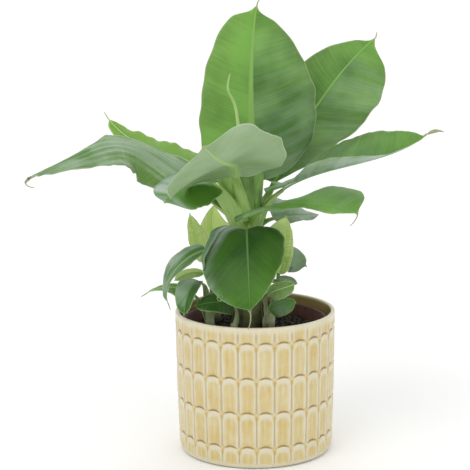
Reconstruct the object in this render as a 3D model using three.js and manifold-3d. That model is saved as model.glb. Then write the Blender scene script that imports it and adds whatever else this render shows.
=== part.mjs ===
// A young dwarf banana plant with small side shoots, in a cream and honey glazed ceramic pot.
// Millimetres, +Z up. The origin is the centre of the pot's flat underside, and the viewer stands at -Y.
import * as THREE from "three";
import { mergeVertices } from "three/addons/utils/BufferGeometryUtils.js";
import Module from "manifold-3d";

const wasm = await Module();
wasm.setup();

// Pot: a straight-sided cylinder that narrows a little towards its foot.
const POT_HEIGHT = 125;
const RIM_RADIUS = 70;
const SHOULDER_Z = 115;
const WAIST_RADIUS = 69.2;
const WAIST_Z = 60;
const HEEL_RADIUS = 67.6;
const HEEL_Z = 7;
const FOOT_RADIUS = 61.5;
// Rounding between the flat underside and the heel: radius and height.
const FOOT_ROUND = [[64.2, 1], [66.2, 3]];
const WALL = 3.8;
const LIP_ROUND = 1.5;
const FLOOR_THICK = 5;
const FLOOR_CORNER = 6;
const ROUND_SIDES = 56;

// Relief of the pot: tongues with arched heads, in columns all round and in rows.
const COLUMNS = 28;
const ROWS = 4;
const ROW_PITCH = 30.5;
const FIRST_HEAD = 111.5;
const HEAD_DROP = 6;
const ROW_GAP = 2;
const GROOVE_DEPTH = 1.3;
const DISH_DEPTH = 0.6;
const DISH_INSET = 5;
const TONGUE_BEVEL = 1.5;
const LOWEST_LINE = 5;
const BAND_STEP = 0.5;

// The nursery pot and its compost.
const NURSERY_RIM_Z = 117.5;
const NURSERY_RIM_RADIUS = 62;
const NURSERY_FOOT_RADIUS = 54;
const NURSERY_WALL = 1.4;
const NURSERY_COLLAR = 7;
const NURSERY_COLLAR_STEP = 0.8;
const NURSERY_SIDES = 36;
const SOIL_Z = 108;
const SOIL_CROWN_RADIUS = 50;
const SOIL_DROP = 2;
const SOIL_MARGIN = 2.2;

const CLEARANCE = 0.3;

// Leaf sheets are never thinner than this share of their length.
const SHEET_SHARE = 0.0125;
const LEAST_SHEET = 1;
const DRIP_LENGTH = 0.035;
const TAIL_HALF = 0.7;
const RIB_TIP = 0.3;
const KEEL_SHARE = 1.4;
const LONG_LEAF = 110;
const MIDDLE_LEAF = 60;

const COLOURS = {
  glaze: 0xe3d3a2,
  nursery: 0x6b3a2c,
  soil: 0x1f1713,
  stem: 0x8fae5a,
  leafBright: 0x6fa548,
  leafDark: 0x3f7d33,
  leafPale: 0x9dbb8c,
  leafLime: 0x94bd58,
  leafBlue: 0x5f8467,
};

// Main stem and side shoots: foot on the compost, top of the sheath and the radii at foot, waist and top.
const STEMS = [
  { name: "stem_main", foot: [-7, -1], top: [-7, -1, 218], radii: [15, 12.4, 7] },
  { name: "stem_pup_left", foot: [-39, -9], top: [-41, -7, 131], radii: [5, 4.2, 2.6] },
  { name: "stem_pup_back_left", foot: [-34, 25], top: [-35.5, 24, 130], radii: [5, 4.2, 2.6] },
  { name: "stem_pup_front", foot: [-19, -22], top: [-19, -20.5, 117], radii: [3.4, 3, 2] },
  { name: "stem_pup_right", foot: [12.5, -10], top: [13.5, -7, 123], radii: [4.6, 4.4, 2.6] },
  { name: "stem_pup_back", foot: [-8, 35], top: [-9, 36.5, 121], radii: [4.4, 4, 2.4] },
];

// The sheath's outline: share of its height, and the place from foot (0) over waist (1) to top (2).
const SHEATH = [[0, 0], [0.1, 0.6], [0.28, 1], [0.6, 1.1], [0.86, 1.35], [1, 2]];

// Each leaf: its stem, the midrib's way from foot over collar to tip, which way the upper face looks at
// the collar and at the tip (heading and height in degrees), the widths of its two halves, the powers of
// their outlines, how far the halves stand up from the midrib and curl at collar and tip (degrees), the
// margin's waves (height, number), the stalk's radii at foot and collar, and the dry thread at the tip.
const LEAVES = [
  {
    name: "leaf_tall",
    stem: "stem_main",
    tint: "leafBright",
    path: [[-5, 3, 196], [-2, 13, 236], [-2, 26, 310], [4, 34, 388]], faces: [[-90, 6], [-88, 6]],
    halves: [45, 57], outline: [[0.21, 0.45], [0.5, 0.74]],
    fold: [[8, 8], [8, 9]], curl: [[12, 12], [10, 9]], wave: [1.5, 3],
    stalk: [5.2, 2.9], tail: [[2, 0, 4], [3, 0, 2]],
  },
  {
    name: "leaf_tall_right",
    stem: "stem_main",
    tint: "leafBright",
    path: [[-1, 4, 200], [18, 36, 231], [59, 70, 297], [112, 92, 354]], faces: [[-121, 24], [-103, 18]],
    halves: [51, 49], outline: [[0.33, 0.8], [0.55, 0.5]],
    fold: [[12, 25], [-3, -3]], curl: [[8, -1], [16, 15]], wave: [1.5, 3],
    stalk: [5, 2.7], tail: [[1, 0, 5]],
  },
  {
    name: "leaf_right_long",
    stem: "stem_main",
    tint: "leafBright",
    path: [[0, -1, 202], [24, -4, 232], [79, -16, 254], [146, -24, 281]], faces: [[-90, 80], [-91, 71]],
    halves: [39, 39], outline: [[0.51, 0.7], [0.35, 0.62]],
    fold: [[6, 37], [21, 25]], curl: [[0, 0], [0, 0]], wave: [1, 2],
    stalk: [4.6, 2.6], tail: [[8, 0, 3], [6, 0, -1]],
  },
  {
    name: "leaf_right_front",
    stem: "stem_main",
    tint: "leafBright",
    path: [[-3, -7, 203], [7, -24, 218], [58, -42, 225], [86, -50, 218]], faces: [[-90, 85], [-76, 64]],
    halves: [40, 12], outline: [[0.56, 0.19], [0.28, 0.54]],
    fold: [[-7, -7], [9, 2]], curl: [[12, 5], [20, 19]], wave: [1.5, 2],
    stalk: [3.8, 2], tail: [[-3, -1, -6], [-4, 0, -4]],
  },
  {
    name: "leaf_right_low",
    stem: "stem_main",
    tint: "leafBlue",
    path: [[0, 3, 196], [16, 8, 204], [38, 16, 205], [57, 26, 204]], faces: [[-89, 54], [-91, 83]],
    halves: [24, 10], outline: [[0.35, 0.53], [0.38, 0.52]],
    fold: [[14, 0], [7, 2]], curl: [[7, 10], [12, 8]], wave: [1, 2],
    stalk: [3.6, 1.8],
  },
  {
    name: "leaf_front_hanging",
    stem: "stem_main",
    tint: "leafDark",
    path: [[-7, -9, 206], [-7, -26, 201], [-6, -52, 171], [-5, -77, 141]],
    faces: [[-90, 36], [-105, 17]],
    halves: [32, 39], outline: [[0.25, 0.68], [0.46, 0.64]],
    fold: [[2, 6], [27, 20]], curl: [[18, 16], [-6, -1]], wave: [1.2, 2],
    stalk: [3, 1.5], lobe: 6, tail: [[0, -3, -8], [-2, -1, -6]],
  },
  {
    name: "leaf_front_arching",
    stem: "stem_main",
    tint: "leafPale",
    path: [[-8, -6, 206], [-16, -18, 246], [-22, -83, 266], [-41, -140, 289]],
    faces: [[153, 66], [147, 76]],
    halves: [48, 54], outline: [[0.5, 0.43], [0.22, 0.22]],
    fold: [[-31, 11], [42, -12]], curl: [[15, 11], [-4, 28]], wave: [3, 2.5],
    stalk: [5.4, 3],
  },
  {
    name: "leaf_left_long",
    stem: "stem_main",
    tint: "leafBlue",
    path: [[-12, -3, 208], [-48, -4, 233], [-110, -12, 275], [-118, -20, 277], [-190, -34, 249]],
    faces: [[-95, 66], [74, 56]],
    halves: [31, 19], outline: [[0.31, 0.48], [0.25, 0.73]],
    fold: [[-47, 16], [-31, -8]], curl: [[30, 0], [16, 0]], wave: [3, 2],
    stalk: [4.8, 2.6], tail: [[-3, 0, -5], [7, 0, -4]],
  },
  {
    name: "leaf_left_back",
    stem: "stem_main",
    tint: "leafLime",
    path: [[-11, 4, 204], [-31, 24, 235], [-87, 50, 258], [-131, 72, 286]],
    faces: [[-81, 56], [-62, 43]],
    halves: [16, 19], outline: [[0.29, 0.57], [0.29, 0.62]],
    fold: [[1, 1], [-2, -5]], curl: [[9, 9], [2, 3]], wave: [1.5, 4],
    stalk: [4.2, 2.2], tail: [[-3, 1, 5]],
  },
  {
    name: "leaf_left_front",
    stem: "stem_main",
    tint: "leafDark",
    path: [[-14, -5, 208], [-28, -13, 234], [-60, -28, 238], [-76, -42, 227]],
    faces: [[-90, 74], [-104, 49]],
    halves: [29, 23], outline: [[0.48, 0.35], [0.43, 0.38]],
    fold: [[1, -2], [-3, 4]], curl: [[9, 12], [12, 7]], wave: [1, 2],
    stalk: [4, 2],
  },
  {
    name: "pup_left_leaf_arching",
    stem: "stem_pup_left",
    tint: "leafBlue",
    path: [[-40, -6, 128], [-42, -10, 180], [-66, -22, 168], [-75, -34, 139]],
    faces: [[-69, 53], [-162, -4]],
    halves: [7.5, 11.2], outline: [[0.54, 0.56], [0.35, 0.62]],
    fold: [[-2, 1], [19, 10]], curl: [[0, 0], [0, 0]], wave: [0.6, 2],
    stalk: [2.2, 1.1], tail: [[2, 0, -6]],
  },
  {
    name: "pup_left_leaf_hanging",
    stem: "stem_pup_left",
    tint: "leafDark",
    path: [[-42, -10, 124], [-48, -20, 155], [-53, -32, 155], [-61, -42, 130]],
    faces: [[-102, 49], [-108, 11]],
    halves: [8, 12], outline: [[0.43, 0.45], [0.42, 0.54]],
    fold: [[12, 6], [19, 18]], curl: [[8, 12], [1, 2]], wave: [0.5, 2],
    stalk: [2.2, 1.1],
  },
  {
    name: "pup_left_leaf_outer",
    stem: "stem_pup_left",
    tint: "leafBright",
    path: [[-43, -8, 122], [-55, -4, 140], [-75, -8, 147], [-94, -14, 143]],
    faces: [[-93, 35], [-96, 56]],
    halves: [11, 4], outline: [[0.34, 1.5], [0.35, 0.8]],
    fold: [[3, 5], [10, 3]], curl: [[0, 0], [0, 0]], wave: [0.4, 2],
    stalk: [2.2, 1.1], tail: [[-5, 0, -3]],
  },
  {
    name: "pup_left_leaf_narrow",
    stem: "stem_pup_left",
    tint: "leafBright",
    path: [[-40, -4, 128], [-45, 4, 157], [-57, 0, 158], [-70, -6, 152]], faces: [[-90, 62], [-89, 59]],
    halves: [10, 4], outline: [[0.4, 0.6], [0.42, 0.58]],
    fold: [[12, 20], [12, 20]], curl: [[0, 0], [0, 0]], wave: [0, 2],
    stalk: [1.5, 0.8],
  },
  {
    name: "pup_back_left_leaf_outer",
    stem: "stem_pup_back_left",
    tint: "leafLime",
    path: [[-37, 23, 126], [-44, 25, 162], [-51, 28, 183], [-57, 30, 205]],
    faces: [[-74, 16], [-72, 16]],
    halves: [10, 10], outline: [[0.39, 0.81], [0.39, 0.82]],
    fold: [[24, 24], [25, 24]], curl: [[8, 8], [8, 8]], wave: [0.4, 2],
    stalk: [2.2, 1.1],
  },
  {
    name: "pup_back_left_leaf_inner",
    stem: "stem_pup_back_left",
    tint: "leafLime",
    path: [[-34, 25, 126], [-33, 34, 166], [-36, 44, 176], [-35, 52, 210]],
    faces: [[-90, 17], [-96, 18]],
    halves: [14, 23], outline: [[0.37, 0.88], [0.4, 0.84]],
    fold: [[20, 20], [22, 24]], curl: [[0, 0], [0, 0]], wave: [0, 2],
    stalk: [2.2, 1.1],
  },
  {
    name: "pup_front_leaf",
    stem: "stem_pup_front",
    tint: "leafDark",
    path: [[-19, -21, 112], [-18, -20, 132], [-26, -28, 138], [-52, -36, 137]],
    faces: [[-88, 39], [-87, 54]],
    halves: [12, 11], outline: [[0.32, 0.57], [0.34, 0.53]],
    fold: [[-2, 0], [1, -3]], curl: [[11, 10], [9, 12]], wave: [0.5, 2],
    stalk: [2.2, 1.1],
  },
  {
    name: "pup_right_leaf_upright",
    stem: "stem_pup_right",
    tint: "leafLime",
    path: [[13, -6, 120], [21, -8, 158], [26, -11, 185], [27, -12, 210]], faces: [[-116, 6], [-116, 3]],
    halves: [22, 11], outline: [[0.38, 0.66], [0.4, 0.74]],
    fold: [[20, 20], [20, 19]], curl: [[0, 0], [0, 0]], wave: [0, 2],
    stalk: [2.2, 1.1],
  },
  {
    name: "pup_right_leaf_back",
    stem: "stem_pup_right",
    tint: "leafBlue",
    path: [[15, -5, 120], [21, 18, 156], [24, 26, 163], [47, 34, 155]], faces: [[-90, 29], [-89, 19]],
    halves: [10, 14], outline: [[0.49, 0.39], [0.51, 0.3]],
    fold: [[0, 0], [0, 0]], curl: [[6, 6], [6, 6]], wave: [0.5, 2],
    stalk: [2.2, 1.1],
  },
  {
    name: "pup_right_leaf_small",
    stem: "stem_pup_right",
    tint: "leafBlue",
    path: [[14, -8, 120], [19, 14, 148], [28, 18, 147], [38, 22, 142]], faces: [[-90, 49], [-90, 29]],
    halves: [4, 6], outline: [[0.5, 0.6], [0.5, 0.6]],
    fold: [[0, 0], [10, 10]], curl: [[10, 10], [10, 10]], wave: [0, 2],
    stalk: [1.5, 0.8],
  },
  {
    name: "pup_right_leaf_folded",
    stem: "stem_pup_right",
    tint: "leafBright",
    path: [[11, -12, 115], [11, -16, 140], [17, -26, 147], [34, -32, 154]],
    faces: [[-89, 22], [-90, 28]],
    halves: [7, 9], outline: [[0.43, 0.43], [0.43, 0.42]],
    fold: [[1, 0], [0, 1]], curl: [[10, 10], [10, 9]], wave: [0, 2],
    stalk: [2.2, 1.1],
  },
  {
    name: "pup_right_leaf_low",
    stem: "stem_pup_right",
    tint: "leafDark",
    path: [[9, -14, 112], [12, -20, 128], [25, -26, 136], [35, -28, 137]],
    faces: [[-90, 32], [-90, 32]],
    halves: [5, 11], outline: [[0.35, 0.37], [0.34, 0.43]],
    fold: [[0, 0], [0, 0]], curl: [[10, 10], [10, 10]], wave: [0, 2],
    stalk: [2.2, 1.1],
  },
  {
    name: "leaf_back_hanging",
    stem: "stem_main",
    tint: "leafDark",
    path: [[-7, 3, 180], [-4, 18, 186], [1, 39, 173], [4, 56, 142]], faces: [[90, 61], [90, 14]],
    halves: [18, 19], outline: [[0.28, 0.5], [0.28, 0.5]],
    fold: [[5, 5], [5, 5]], curl: [[15, 12], [15, 12]], wave: [1.2, 2],
    stalk: [3.4, 1.7],
  },
  {
    name: "pup_back_leaf_right",
    stem: "stem_pup_back",
    tint: "leafDark",
    path: [[-8, 36, 114], [-4, 41, 128], [9, 53, 136], [26, 68, 131]], faces: [[90, 79], [63, 50]],
    halves: [11, 11], outline: [[0.35, 0.5], [0.35, 0.5]],
    fold: [[10, 5], [10, 5]], curl: [[10, 5], [10, 5]], wave: [0.5, 2],
    stalk: [2.2, 1.1],
  },
  {
    name: "pup_back_leaf_left",
    stem: "stem_pup_back",
    tint: "leafDark",
    path: [[-10, 37, 114], [-14, 43, 128], [-26, 54, 138], [-42, 66, 134]],
    faces: [[90, 79], [117, 50]],
    halves: [10, 10], outline: [[0.35, 0.5], [0.35, 0.5]],
    fold: [[10, 5], [10, 5]], curl: [[10, 5], [10, 5]], wave: [0.5, 2],
    stalk: [2.2, 1.1],
  },
];

// The rolled new leaf in the middle of the plant.
const SPEAR = [[-9, 1.5, 218.3], [-11, 5, 250], [-15, 9, 298], [-22, 6, 317], [-20, 6, 331]];
const SPEAR_RADII = [2.4, 2.6, 2.2, 1.5, 0.7];
const SPEAR_STEPS = 12;

const vec = (p) => new THREE.Vector3(...p);
const rad = THREE.MathUtils.degToRad;
const mix = THREE.MathUtils.lerp;

// The direction with this heading and height, both in degrees.
function direction([heading, height]) {
  const flat = Math.cos(rad(height));
  return new THREE.Vector3(
    flat * Math.cos(rad(heading)),
    flat * Math.sin(rad(heading)),
    Math.sin(rad(height)),
  );
}

// One polynomial curve through all the points, with its parameter spread by the distances between them.
function curveThrough(points) {
  const p = points.map(vec);
  const reach = [0];
  for (let i = 1; i < p.length; i++) reach.push(reach[i - 1] + p[i].distanceTo(p[i - 1]));
  const total = reach[p.length - 1];
  const knots = reach.map((k) => k / total);
  const at = (t) => {
    const sum = new THREE.Vector3();
    p.forEach((point, i) => {
      let weight = 1;
      knots.forEach((other, j) => {
        if (j !== i) weight *= (t - other) / (knots[i] - other);
      });
      sum.addScaledVector(point, weight);
    });
    return sum;
  };
  const tangent = (t) => at(t + 1e-3).sub(at(t - 1e-3)).normalize();
  return { knots, total, at, tangent };
}

function geometryOf(points, index) {
  const geometry = new THREE.BufferGeometry().setFromPoints(points);
  geometry.setIndex(index);
  return geometry;
}

// A closed solid from rings of points that run the same way round, with flat fans over both ends.
function solidFromRings(rings) {
  const count = rings[0].length;
  const points = rings.flat();
  const centre = (ring) => ring.reduce((s, q) => s.add(q), new THREE.Vector3()).divideScalar(count);
  const first = points.push(centre(rings[0])) - 1;
  const last = points.push(centre(rings[rings.length - 1])) - 1;
  const top = (rings.length - 1) * count;
  const index = [];
  for (let j = 0; j < count; j++) {
    const k = (j + 1) % count;
    for (let i = 0; i < rings.length - 1; i++) {
      const a = i * count;
      const b = a + count;
      index.push(a + j, a + k, b + k, a + j, b + k, b + j);
    }
    index.push(first, k, j, last, top + j, top + k);
  }
  return geometryOf(points, index);
}

// A ring of points round a centre, across the given direction.
function ringAcross(centre, along, radius, sides) {
  const side = new THREE.Vector3(0, 1, 0).cross(along);
  if (side.lengthSq() < 0.05) side.set(1, 0, 0).cross(along);
  side.normalize();
  const other = along.clone().cross(side);
  return Array.from({ length: sides }, (_, j) => {
    const a = (2 * Math.PI * j) / sides;
    return centre
      .clone()
      .addScaledVector(side, radius * Math.cos(a))
      .addScaledVector(other, radius * Math.sin(a));
  });
}

// A round stalk along part of a curve, its radius going evenly from one end to the other.
function stalkAlong(curve, from, to, [r0, r1], steps, sides) {
  const rings = [];
  for (let i = 0; i <= steps; i++) {
    const t = mix(from, to, i / steps);
    rings.push(ringAcross(curve.at(t), curve.tangent(t), mix(r0, r1, i / steps), sides));
  }
  return solidFromRings(rings);
}

// The half-width of a leaf at share s of its blade, as a part of its widest place.
function outlineShape([base, tip]) {
  const raw = (s) => s ** base * (1 - s) ** tip * (1 - Math.exp(-(1 - s) / DRIP_LENGTH));
  const samples = 400;
  let widest = 0;
  for (let i = 1; i < samples; i++) widest = Math.max(widest, raw(i / samples));
  return (s) => raw(s) / widest;
}

// The blade of one leaf as a closed sheet with a keel under its midrib.
function bladeOf(leaf) {
  const curve = curveThrough(leaf.path);
  const collar = curve.knots[1];
  const length = curve.total * (1 - collar);
  const sheet = Math.max(LEAST_SHEET, SHEET_SHARE * length);
  const steps = length > LONG_LEAF ? 12 : length > MIDDLE_LEAF ? 10 : 7;
  const across = length > MIDDLE_LEAF ? [0, 0.12, 0.56, 1] : [0, 0.16, 1];
  const shapes = leaf.outline.map(outlineShape);
  const faces = leaf.faces.map(direction);
  const start = CLEARANCE / curve.total;
  const upper = [];
  const lower = [];

  const addSection = (centre, T, face, s, tailHalf) => {
    const N = face.clone().addScaledVector(T, -face.dot(T)).normalize();
    const L = N.clone().cross(T);
    const rib = mix(leaf.stalk[1], RIB_TIP, s);
    const top = [];
    const under = [];
    for (let j = -across.length + 1; j < across.length; j++) {
      const side = j < 0 ? 0 : 1;
      const sign = j < 0 ? 1 : -1;
      const v = across[Math.abs(j)];
      const shape = shapes[side](s);
      const half = tailHalf || Math.max(shape * leaf.halves[side], rib * 0.9, 0.6);
      const fold = rad(mix(leaf.fold[0][side], leaf.fold[1][side], s));
      const curl = rad(mix(leaf.curl[0][side], leaf.curl[1][side], s)) || 1e-3;
      const slope = fold - curl * v;
      const out = (half * (Math.sin(fold) - Math.sin(slope))) / curl;
      let up = (half * (Math.cos(slope) - Math.cos(fold))) / curl;
      let back = 0;
      let keel = 0;
      if (!tailHalf) {
        const phase = 2 * Math.PI * leaf.wave[1] * s + 2 * side;
        up += leaf.wave[0] * v * v * Math.sin(phase) * Math.min(1, 2 * shape);
        back = (leaf.lobe || 0) * v * (1 - s) ** 5 * Math.min(1, 3 * shape);
        keel = j === 0 ? rib * KEEL_SHARE : 0;
      }
      const middle = centre
        .clone()
        .addScaledVector(L, sign * out)
        .addScaledVector(N, up)
        .addScaledVector(T, -back);
      const normal = N.clone().multiplyScalar(Math.cos(slope)).addScaledVector(L, -sign * Math.sin(slope));
      top.push(middle.clone().addScaledVector(normal, sheet / 2));
      under.push(middle.clone().addScaledVector(normal, -sheet / 2 - keel));
    }
    upper.push(top);
    lower.push(under);
  };

  for (let i = 0; i <= steps; i++) {
    const s = 0.5 * (1 - Math.cos((Math.PI * i) / steps));
    const t = mix(collar + start, 1, s);
    addSection(curve.at(t), curve.tangent(t), faces[0].clone().lerp(faces[1], s), s, 0);
  }
  let end = curve.at(1);
  for (const step of leaf.tail || []) {
    const move = vec(step);
    end = end.clone().add(move);
    addSection(end, move.clone().normalize(), faces[1], 1, TAIL_HALF);
  }
  return sheetSolid(upper, lower);
}

// Joins the upper and the lower grid of a sheet round all four sides.
function sheetSolid(upper, lower) {
  const rows = upper.length;
  const width = upper[0].length;
  const points = [...upper.flat(), ...lower.flat()];
  const down = rows * width;
  const index = [];
  const quad = (a, b, c, d) => index.push(a, b, c, a, c, d);
  for (let i = 0; i < rows - 1; i++) {
    const a = i * width;
    const b = a + width;
    for (let j = 0; j < width - 1; j++) {
      quad(a + j, a + j + 1, b + j + 1, b + j);
      quad(down + a + j, down + b + j, down + b + j + 1, down + a + j + 1);
    }
    quad(a, b, down + b, down + a);
    const e = width - 1;
    quad(a + e, down + a + e, down + b + e, b + e);
  }
  const z = (rows - 1) * width;
  for (let j = 0; j < width - 1; j++) {
    quad(j, down + j, down + j + 1, j + 1);
    quad(z + j, z + j + 1, down + z + j + 1, down + z + j);
  }
  return geometryOf(points, index);
}

function manifoldOf(geometry) {
  const bare = new THREE.BufferGeometry();
  bare.setAttribute("position", geometry.getAttribute("position"));
  bare.setIndex(geometry.index);
  const merged = mergeVertices(bare, 1e-4);
  const vertProperties = merged.attributes.position.array;
  const triVerts = new Uint32Array(merged.index.array);
  return new wasm.Manifold(new wasm.Mesh({ numProp: 3, vertProperties, triVerts }));
}

function geometryFrom(manifold) {
  const mesh = manifold.getMesh();
  const geometry = new THREE.BufferGeometry();
  geometry.setAttribute("position", new THREE.BufferAttribute(mesh.vertProperties, 3));
  geometry.setIndex(new THREE.BufferAttribute(mesh.triVerts, 1));
  return geometry;
}

// The sheath from the compost upwards, joined with the stalks of its leaves.
function stemGeometry(stem) {
  const [foot, waist, crown] = stem.radii;
  const isMain = stem.name === "stem_main";
  const sides = isMain ? 16 : 8;
  const stalkSides = isMain ? 8 : 6;
  const stalkSteps = isMain ? 5 : 4;
  const base = new THREE.Vector3(stem.foot[0], stem.foot[1], SOIL_Z + CLEARANCE);
  const top = vec(stem.top);
  const up = new THREE.Vector3(0, 0, 1);
  const rings = SHEATH.map(([height, place]) => {
    const radius = place < 1 ? mix(foot, waist, place) : mix(waist, crown, place - 1);
    return ringAcross(base.clone().lerp(top, height), up, radius, sides);
  });
  let solid = manifoldOf(solidFromRings(rings));
  for (const leaf of LEAVES.filter((l) => l.stem === stem.name)) {
    const curve = curveThrough(leaf.path);
    const stalk = stalkAlong(curve, 0, curve.knots[1], leaf.stalk, stalkSteps, stalkSides);
    solid = solid.add(manifoldOf(stalk));
  }
  return geometryFrom(solid);
}

function spearGeometry() {
  const curve = new THREE.CatmullRomCurve3(SPEAR.map(vec));
  const rings = [];
  for (let i = 0; i <= SPEAR_STEPS; i++) {
    const share = i / SPEAR_STEPS;
    const place = share * (SPEAR_RADII.length - 1);
    const k = Math.min(Math.floor(place), SPEAR_RADII.length - 2);
    const radius = mix(SPEAR_RADII[k], SPEAR_RADII[k + 1], place - k);
    rings.push(ringAcross(curve.getPoint(share), curve.getTangent(share), radius, 8));
  }
  return solidFromRings(rings);
}

// Radius of the plain outer wall at height z.
function wallRadius(z) {
  if (z > WAIST_Z) {
    return mix(WAIST_RADIUS, RIM_RADIUS, Math.min(1, (z - WAIST_Z) / (SHOULDER_Z - WAIST_Z)));
  }
  return mix(HEEL_RADIUS, WAIST_RADIUS, (z - HEEL_Z) / (WAIST_Z - HEEL_Z));
}

// The outer wall with its rows of arched tongues, closed to a solid block. In each column u runs from
// -1 to 1, with the groove at both ends and the tongue between.
function potBlock() {
  const samples = [-1, -0.7, 0, 0.7];
  const rings = [];
  const addRing = (height, depth) => {
    const ring = [];
    for (let c = 0; c < COLUMNS; c++) {
      for (const u of samples) {
        const angle = ((c + (u + 1) / 2) / COLUMNS) * 2 * Math.PI - Math.PI / 2;
        const z = height(u);
        const r = wallRadius(z) - depth(u);
        ring.push(new THREE.Vector3(r * Math.cos(angle), r * Math.sin(angle), z));
      }
    }
    rings.push(ring);
  };
  const plain = (radius, z) => addRing(() => z, () => wallRadius(z) - radius);
  const groove = (u) => (u === -1 ? GROOVE_DEPTH : 0);
  const dish = (u) => (u === 0 ? DISH_DEPTH : groove(u));

  plain(FOOT_RADIUS, 0);
  for (const [radius, z] of FOOT_ROUND) plain(radius, z);
  for (let row = ROWS - 1; row >= 0; row--) {
    const head = FIRST_HEAD - row * ROW_PITCH;
    const foot = Math.max(head - ROW_PITCH + ROW_GAP, LOWEST_LINE);
    const arch = (inset) => (u) => head - inset - HEAD_DROP * (1 - Math.sqrt(1 - u * u * 0.97));
    addRing(() => foot + 1, groove);
    if (row < ROWS - 1) addRing(() => foot + DISH_INSET - 1, dish);
    addRing(arch(row < ROWS - 1 ? DISH_INSET : DISH_INSET - 0.4), dish);
    addRing(arch(TONGUE_BEVEL), groove);
    addRing(arch(0), () => GROOVE_DEPTH);
  }
  const band = FIRST_HEAD + ROW_GAP;
  plain(wallRadius(band) - BAND_STEP, band);
  plain(RIM_RADIUS, POT_HEIGHT - LIP_ROUND);
  plain(RIM_RADIUS - LIP_ROUND * 0.4, POT_HEIGHT - LIP_ROUND * 0.3);
  plain(RIM_RADIUS - LIP_ROUND, POT_HEIGHT);
  return solidFromRings(rings);
}

// Turns a profile of [radius, height] points round the axis.
function lathe(profile, segments) {
  const points = profile.map(([r, z]) => new THREE.Vector2(r, z));
  const geometry = new THREE.LatheGeometry(points, segments);
  geometry.rotateX(Math.PI / 2);
  return geometry;
}

function potGeometry() {
  const inside = RIM_RADIUS - WALL;
  const above = POT_HEIGHT + 0.2;
  const hollow = lathe(
    [
      [0, FLOOR_THICK],
      [inside - FLOOR_CORNER, FLOOR_THICK],
      [inside - FLOOR_CORNER * 0.3, FLOOR_THICK + FLOOR_CORNER * 0.7],
      [inside, POT_HEIGHT - LIP_ROUND],
      [inside + LIP_ROUND * 0.3, POT_HEIGHT - LIP_ROUND * 0.3],
      [inside + LIP_ROUND * 0.8, above],
      [0, above],
    ],
    ROUND_SIDES,
  );
  return geometryFrom(manifoldOf(potBlock()).subtract(manifoldOf(hollow)));
}

const NURSERY_LOW = FLOOR_THICK + CLEARANCE;

// Radius of the nursery pot's outside at height z.
function nurseryRadius(z) {
  const share = (z - NURSERY_LOW) / (NURSERY_RIM_Z - NURSERY_LOW);
  return mix(NURSERY_FOOT_RADIUS, NURSERY_RIM_RADIUS, share);
}

function nurseryGeometry() {
  const collarRadius = NURSERY_RIM_RADIUS + NURSERY_COLLAR_STEP;
  const collarFoot = NURSERY_RIM_Z - NURSERY_COLLAR;
  return lathe(
    [
      [0, NURSERY_LOW],
      [NURSERY_FOOT_RADIUS, NURSERY_LOW],
      [nurseryRadius(collarFoot - 1), collarFoot - 1],
      [collarRadius, collarFoot],
      [collarRadius, NURSERY_RIM_Z - 0.5],
      [NURSERY_RIM_RADIUS, NURSERY_RIM_Z],
      [NURSERY_RIM_RADIUS - NURSERY_WALL, NURSERY_RIM_Z],
      [NURSERY_FOOT_RADIUS - NURSERY_WALL, NURSERY_LOW + NURSERY_WALL],
      [0, NURSERY_LOW + NURSERY_WALL],
    ],
    NURSERY_SIDES,
  );
}

function soilGeometry() {
  const low = NURSERY_LOW + NURSERY_WALL + CLEARANCE;
  const shoulder = SOIL_Z - SOIL_DROP;
  return lathe(
    [
      [0, low],
      [nurseryRadius(low) - SOIL_MARGIN, low],
      [nurseryRadius(shoulder) - SOIL_MARGIN, shoulder],
      [SOIL_CROWN_RADIUS, SOIL_Z],
      [0, SOIL_Z],
    ],
    NURSERY_SIDES,
  );
}

const plant = new THREE.Group();

function addPart(name, geometry, colour, roughness) {
  geometry.computeVertexNormals();
  const material = new THREE.MeshStandardMaterial({ color: colour, roughness, metalness: 0 });
  const mesh = new THREE.Mesh(geometry, material);
  mesh.name = name;
  plant.add(mesh);
}

addPart("pot_ceramic", potGeometry(), COLOURS.glaze, 0.25);
addPart("pot_nursery", nurseryGeometry(), COLOURS.nursery, 0.6);
addPart("compost", soilGeometry(), COLOURS.soil, 1);
for (const stem of STEMS) addPart(stem.name, stemGeometry(stem), COLOURS.stem, 0.5);
for (const leaf of LEAVES) addPart(leaf.name, bladeOf(leaf), COLOURS[leaf.tint], 0.45);
addPart("leaf_rolled", spearGeometry(), COLOURS.leafLime, 0.45);

export default plant;
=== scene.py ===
# A young dwarf banana plant with small side shoots, in a cream and honey glazed ceramic pot.
# Sizes are in millimetres and every mesh is in metres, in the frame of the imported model: the origin is the
# centre of the pot's flat underside, +Z is up and the viewer stands at -Y.
import math
from types import SimpleNamespace

import bpy
import numpy as np
from mathutils import Matrix


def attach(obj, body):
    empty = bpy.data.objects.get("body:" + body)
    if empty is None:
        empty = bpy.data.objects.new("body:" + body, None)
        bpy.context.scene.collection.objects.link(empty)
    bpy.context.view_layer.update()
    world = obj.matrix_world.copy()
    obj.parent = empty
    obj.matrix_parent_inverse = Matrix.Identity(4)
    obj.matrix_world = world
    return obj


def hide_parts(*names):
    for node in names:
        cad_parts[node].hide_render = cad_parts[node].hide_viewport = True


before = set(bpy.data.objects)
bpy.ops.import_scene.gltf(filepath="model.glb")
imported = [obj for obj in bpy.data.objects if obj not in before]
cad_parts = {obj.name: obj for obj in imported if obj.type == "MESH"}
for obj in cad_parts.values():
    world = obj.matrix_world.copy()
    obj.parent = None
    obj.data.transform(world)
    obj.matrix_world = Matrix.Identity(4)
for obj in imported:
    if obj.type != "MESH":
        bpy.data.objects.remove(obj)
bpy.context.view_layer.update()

MM = 0.001

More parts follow.
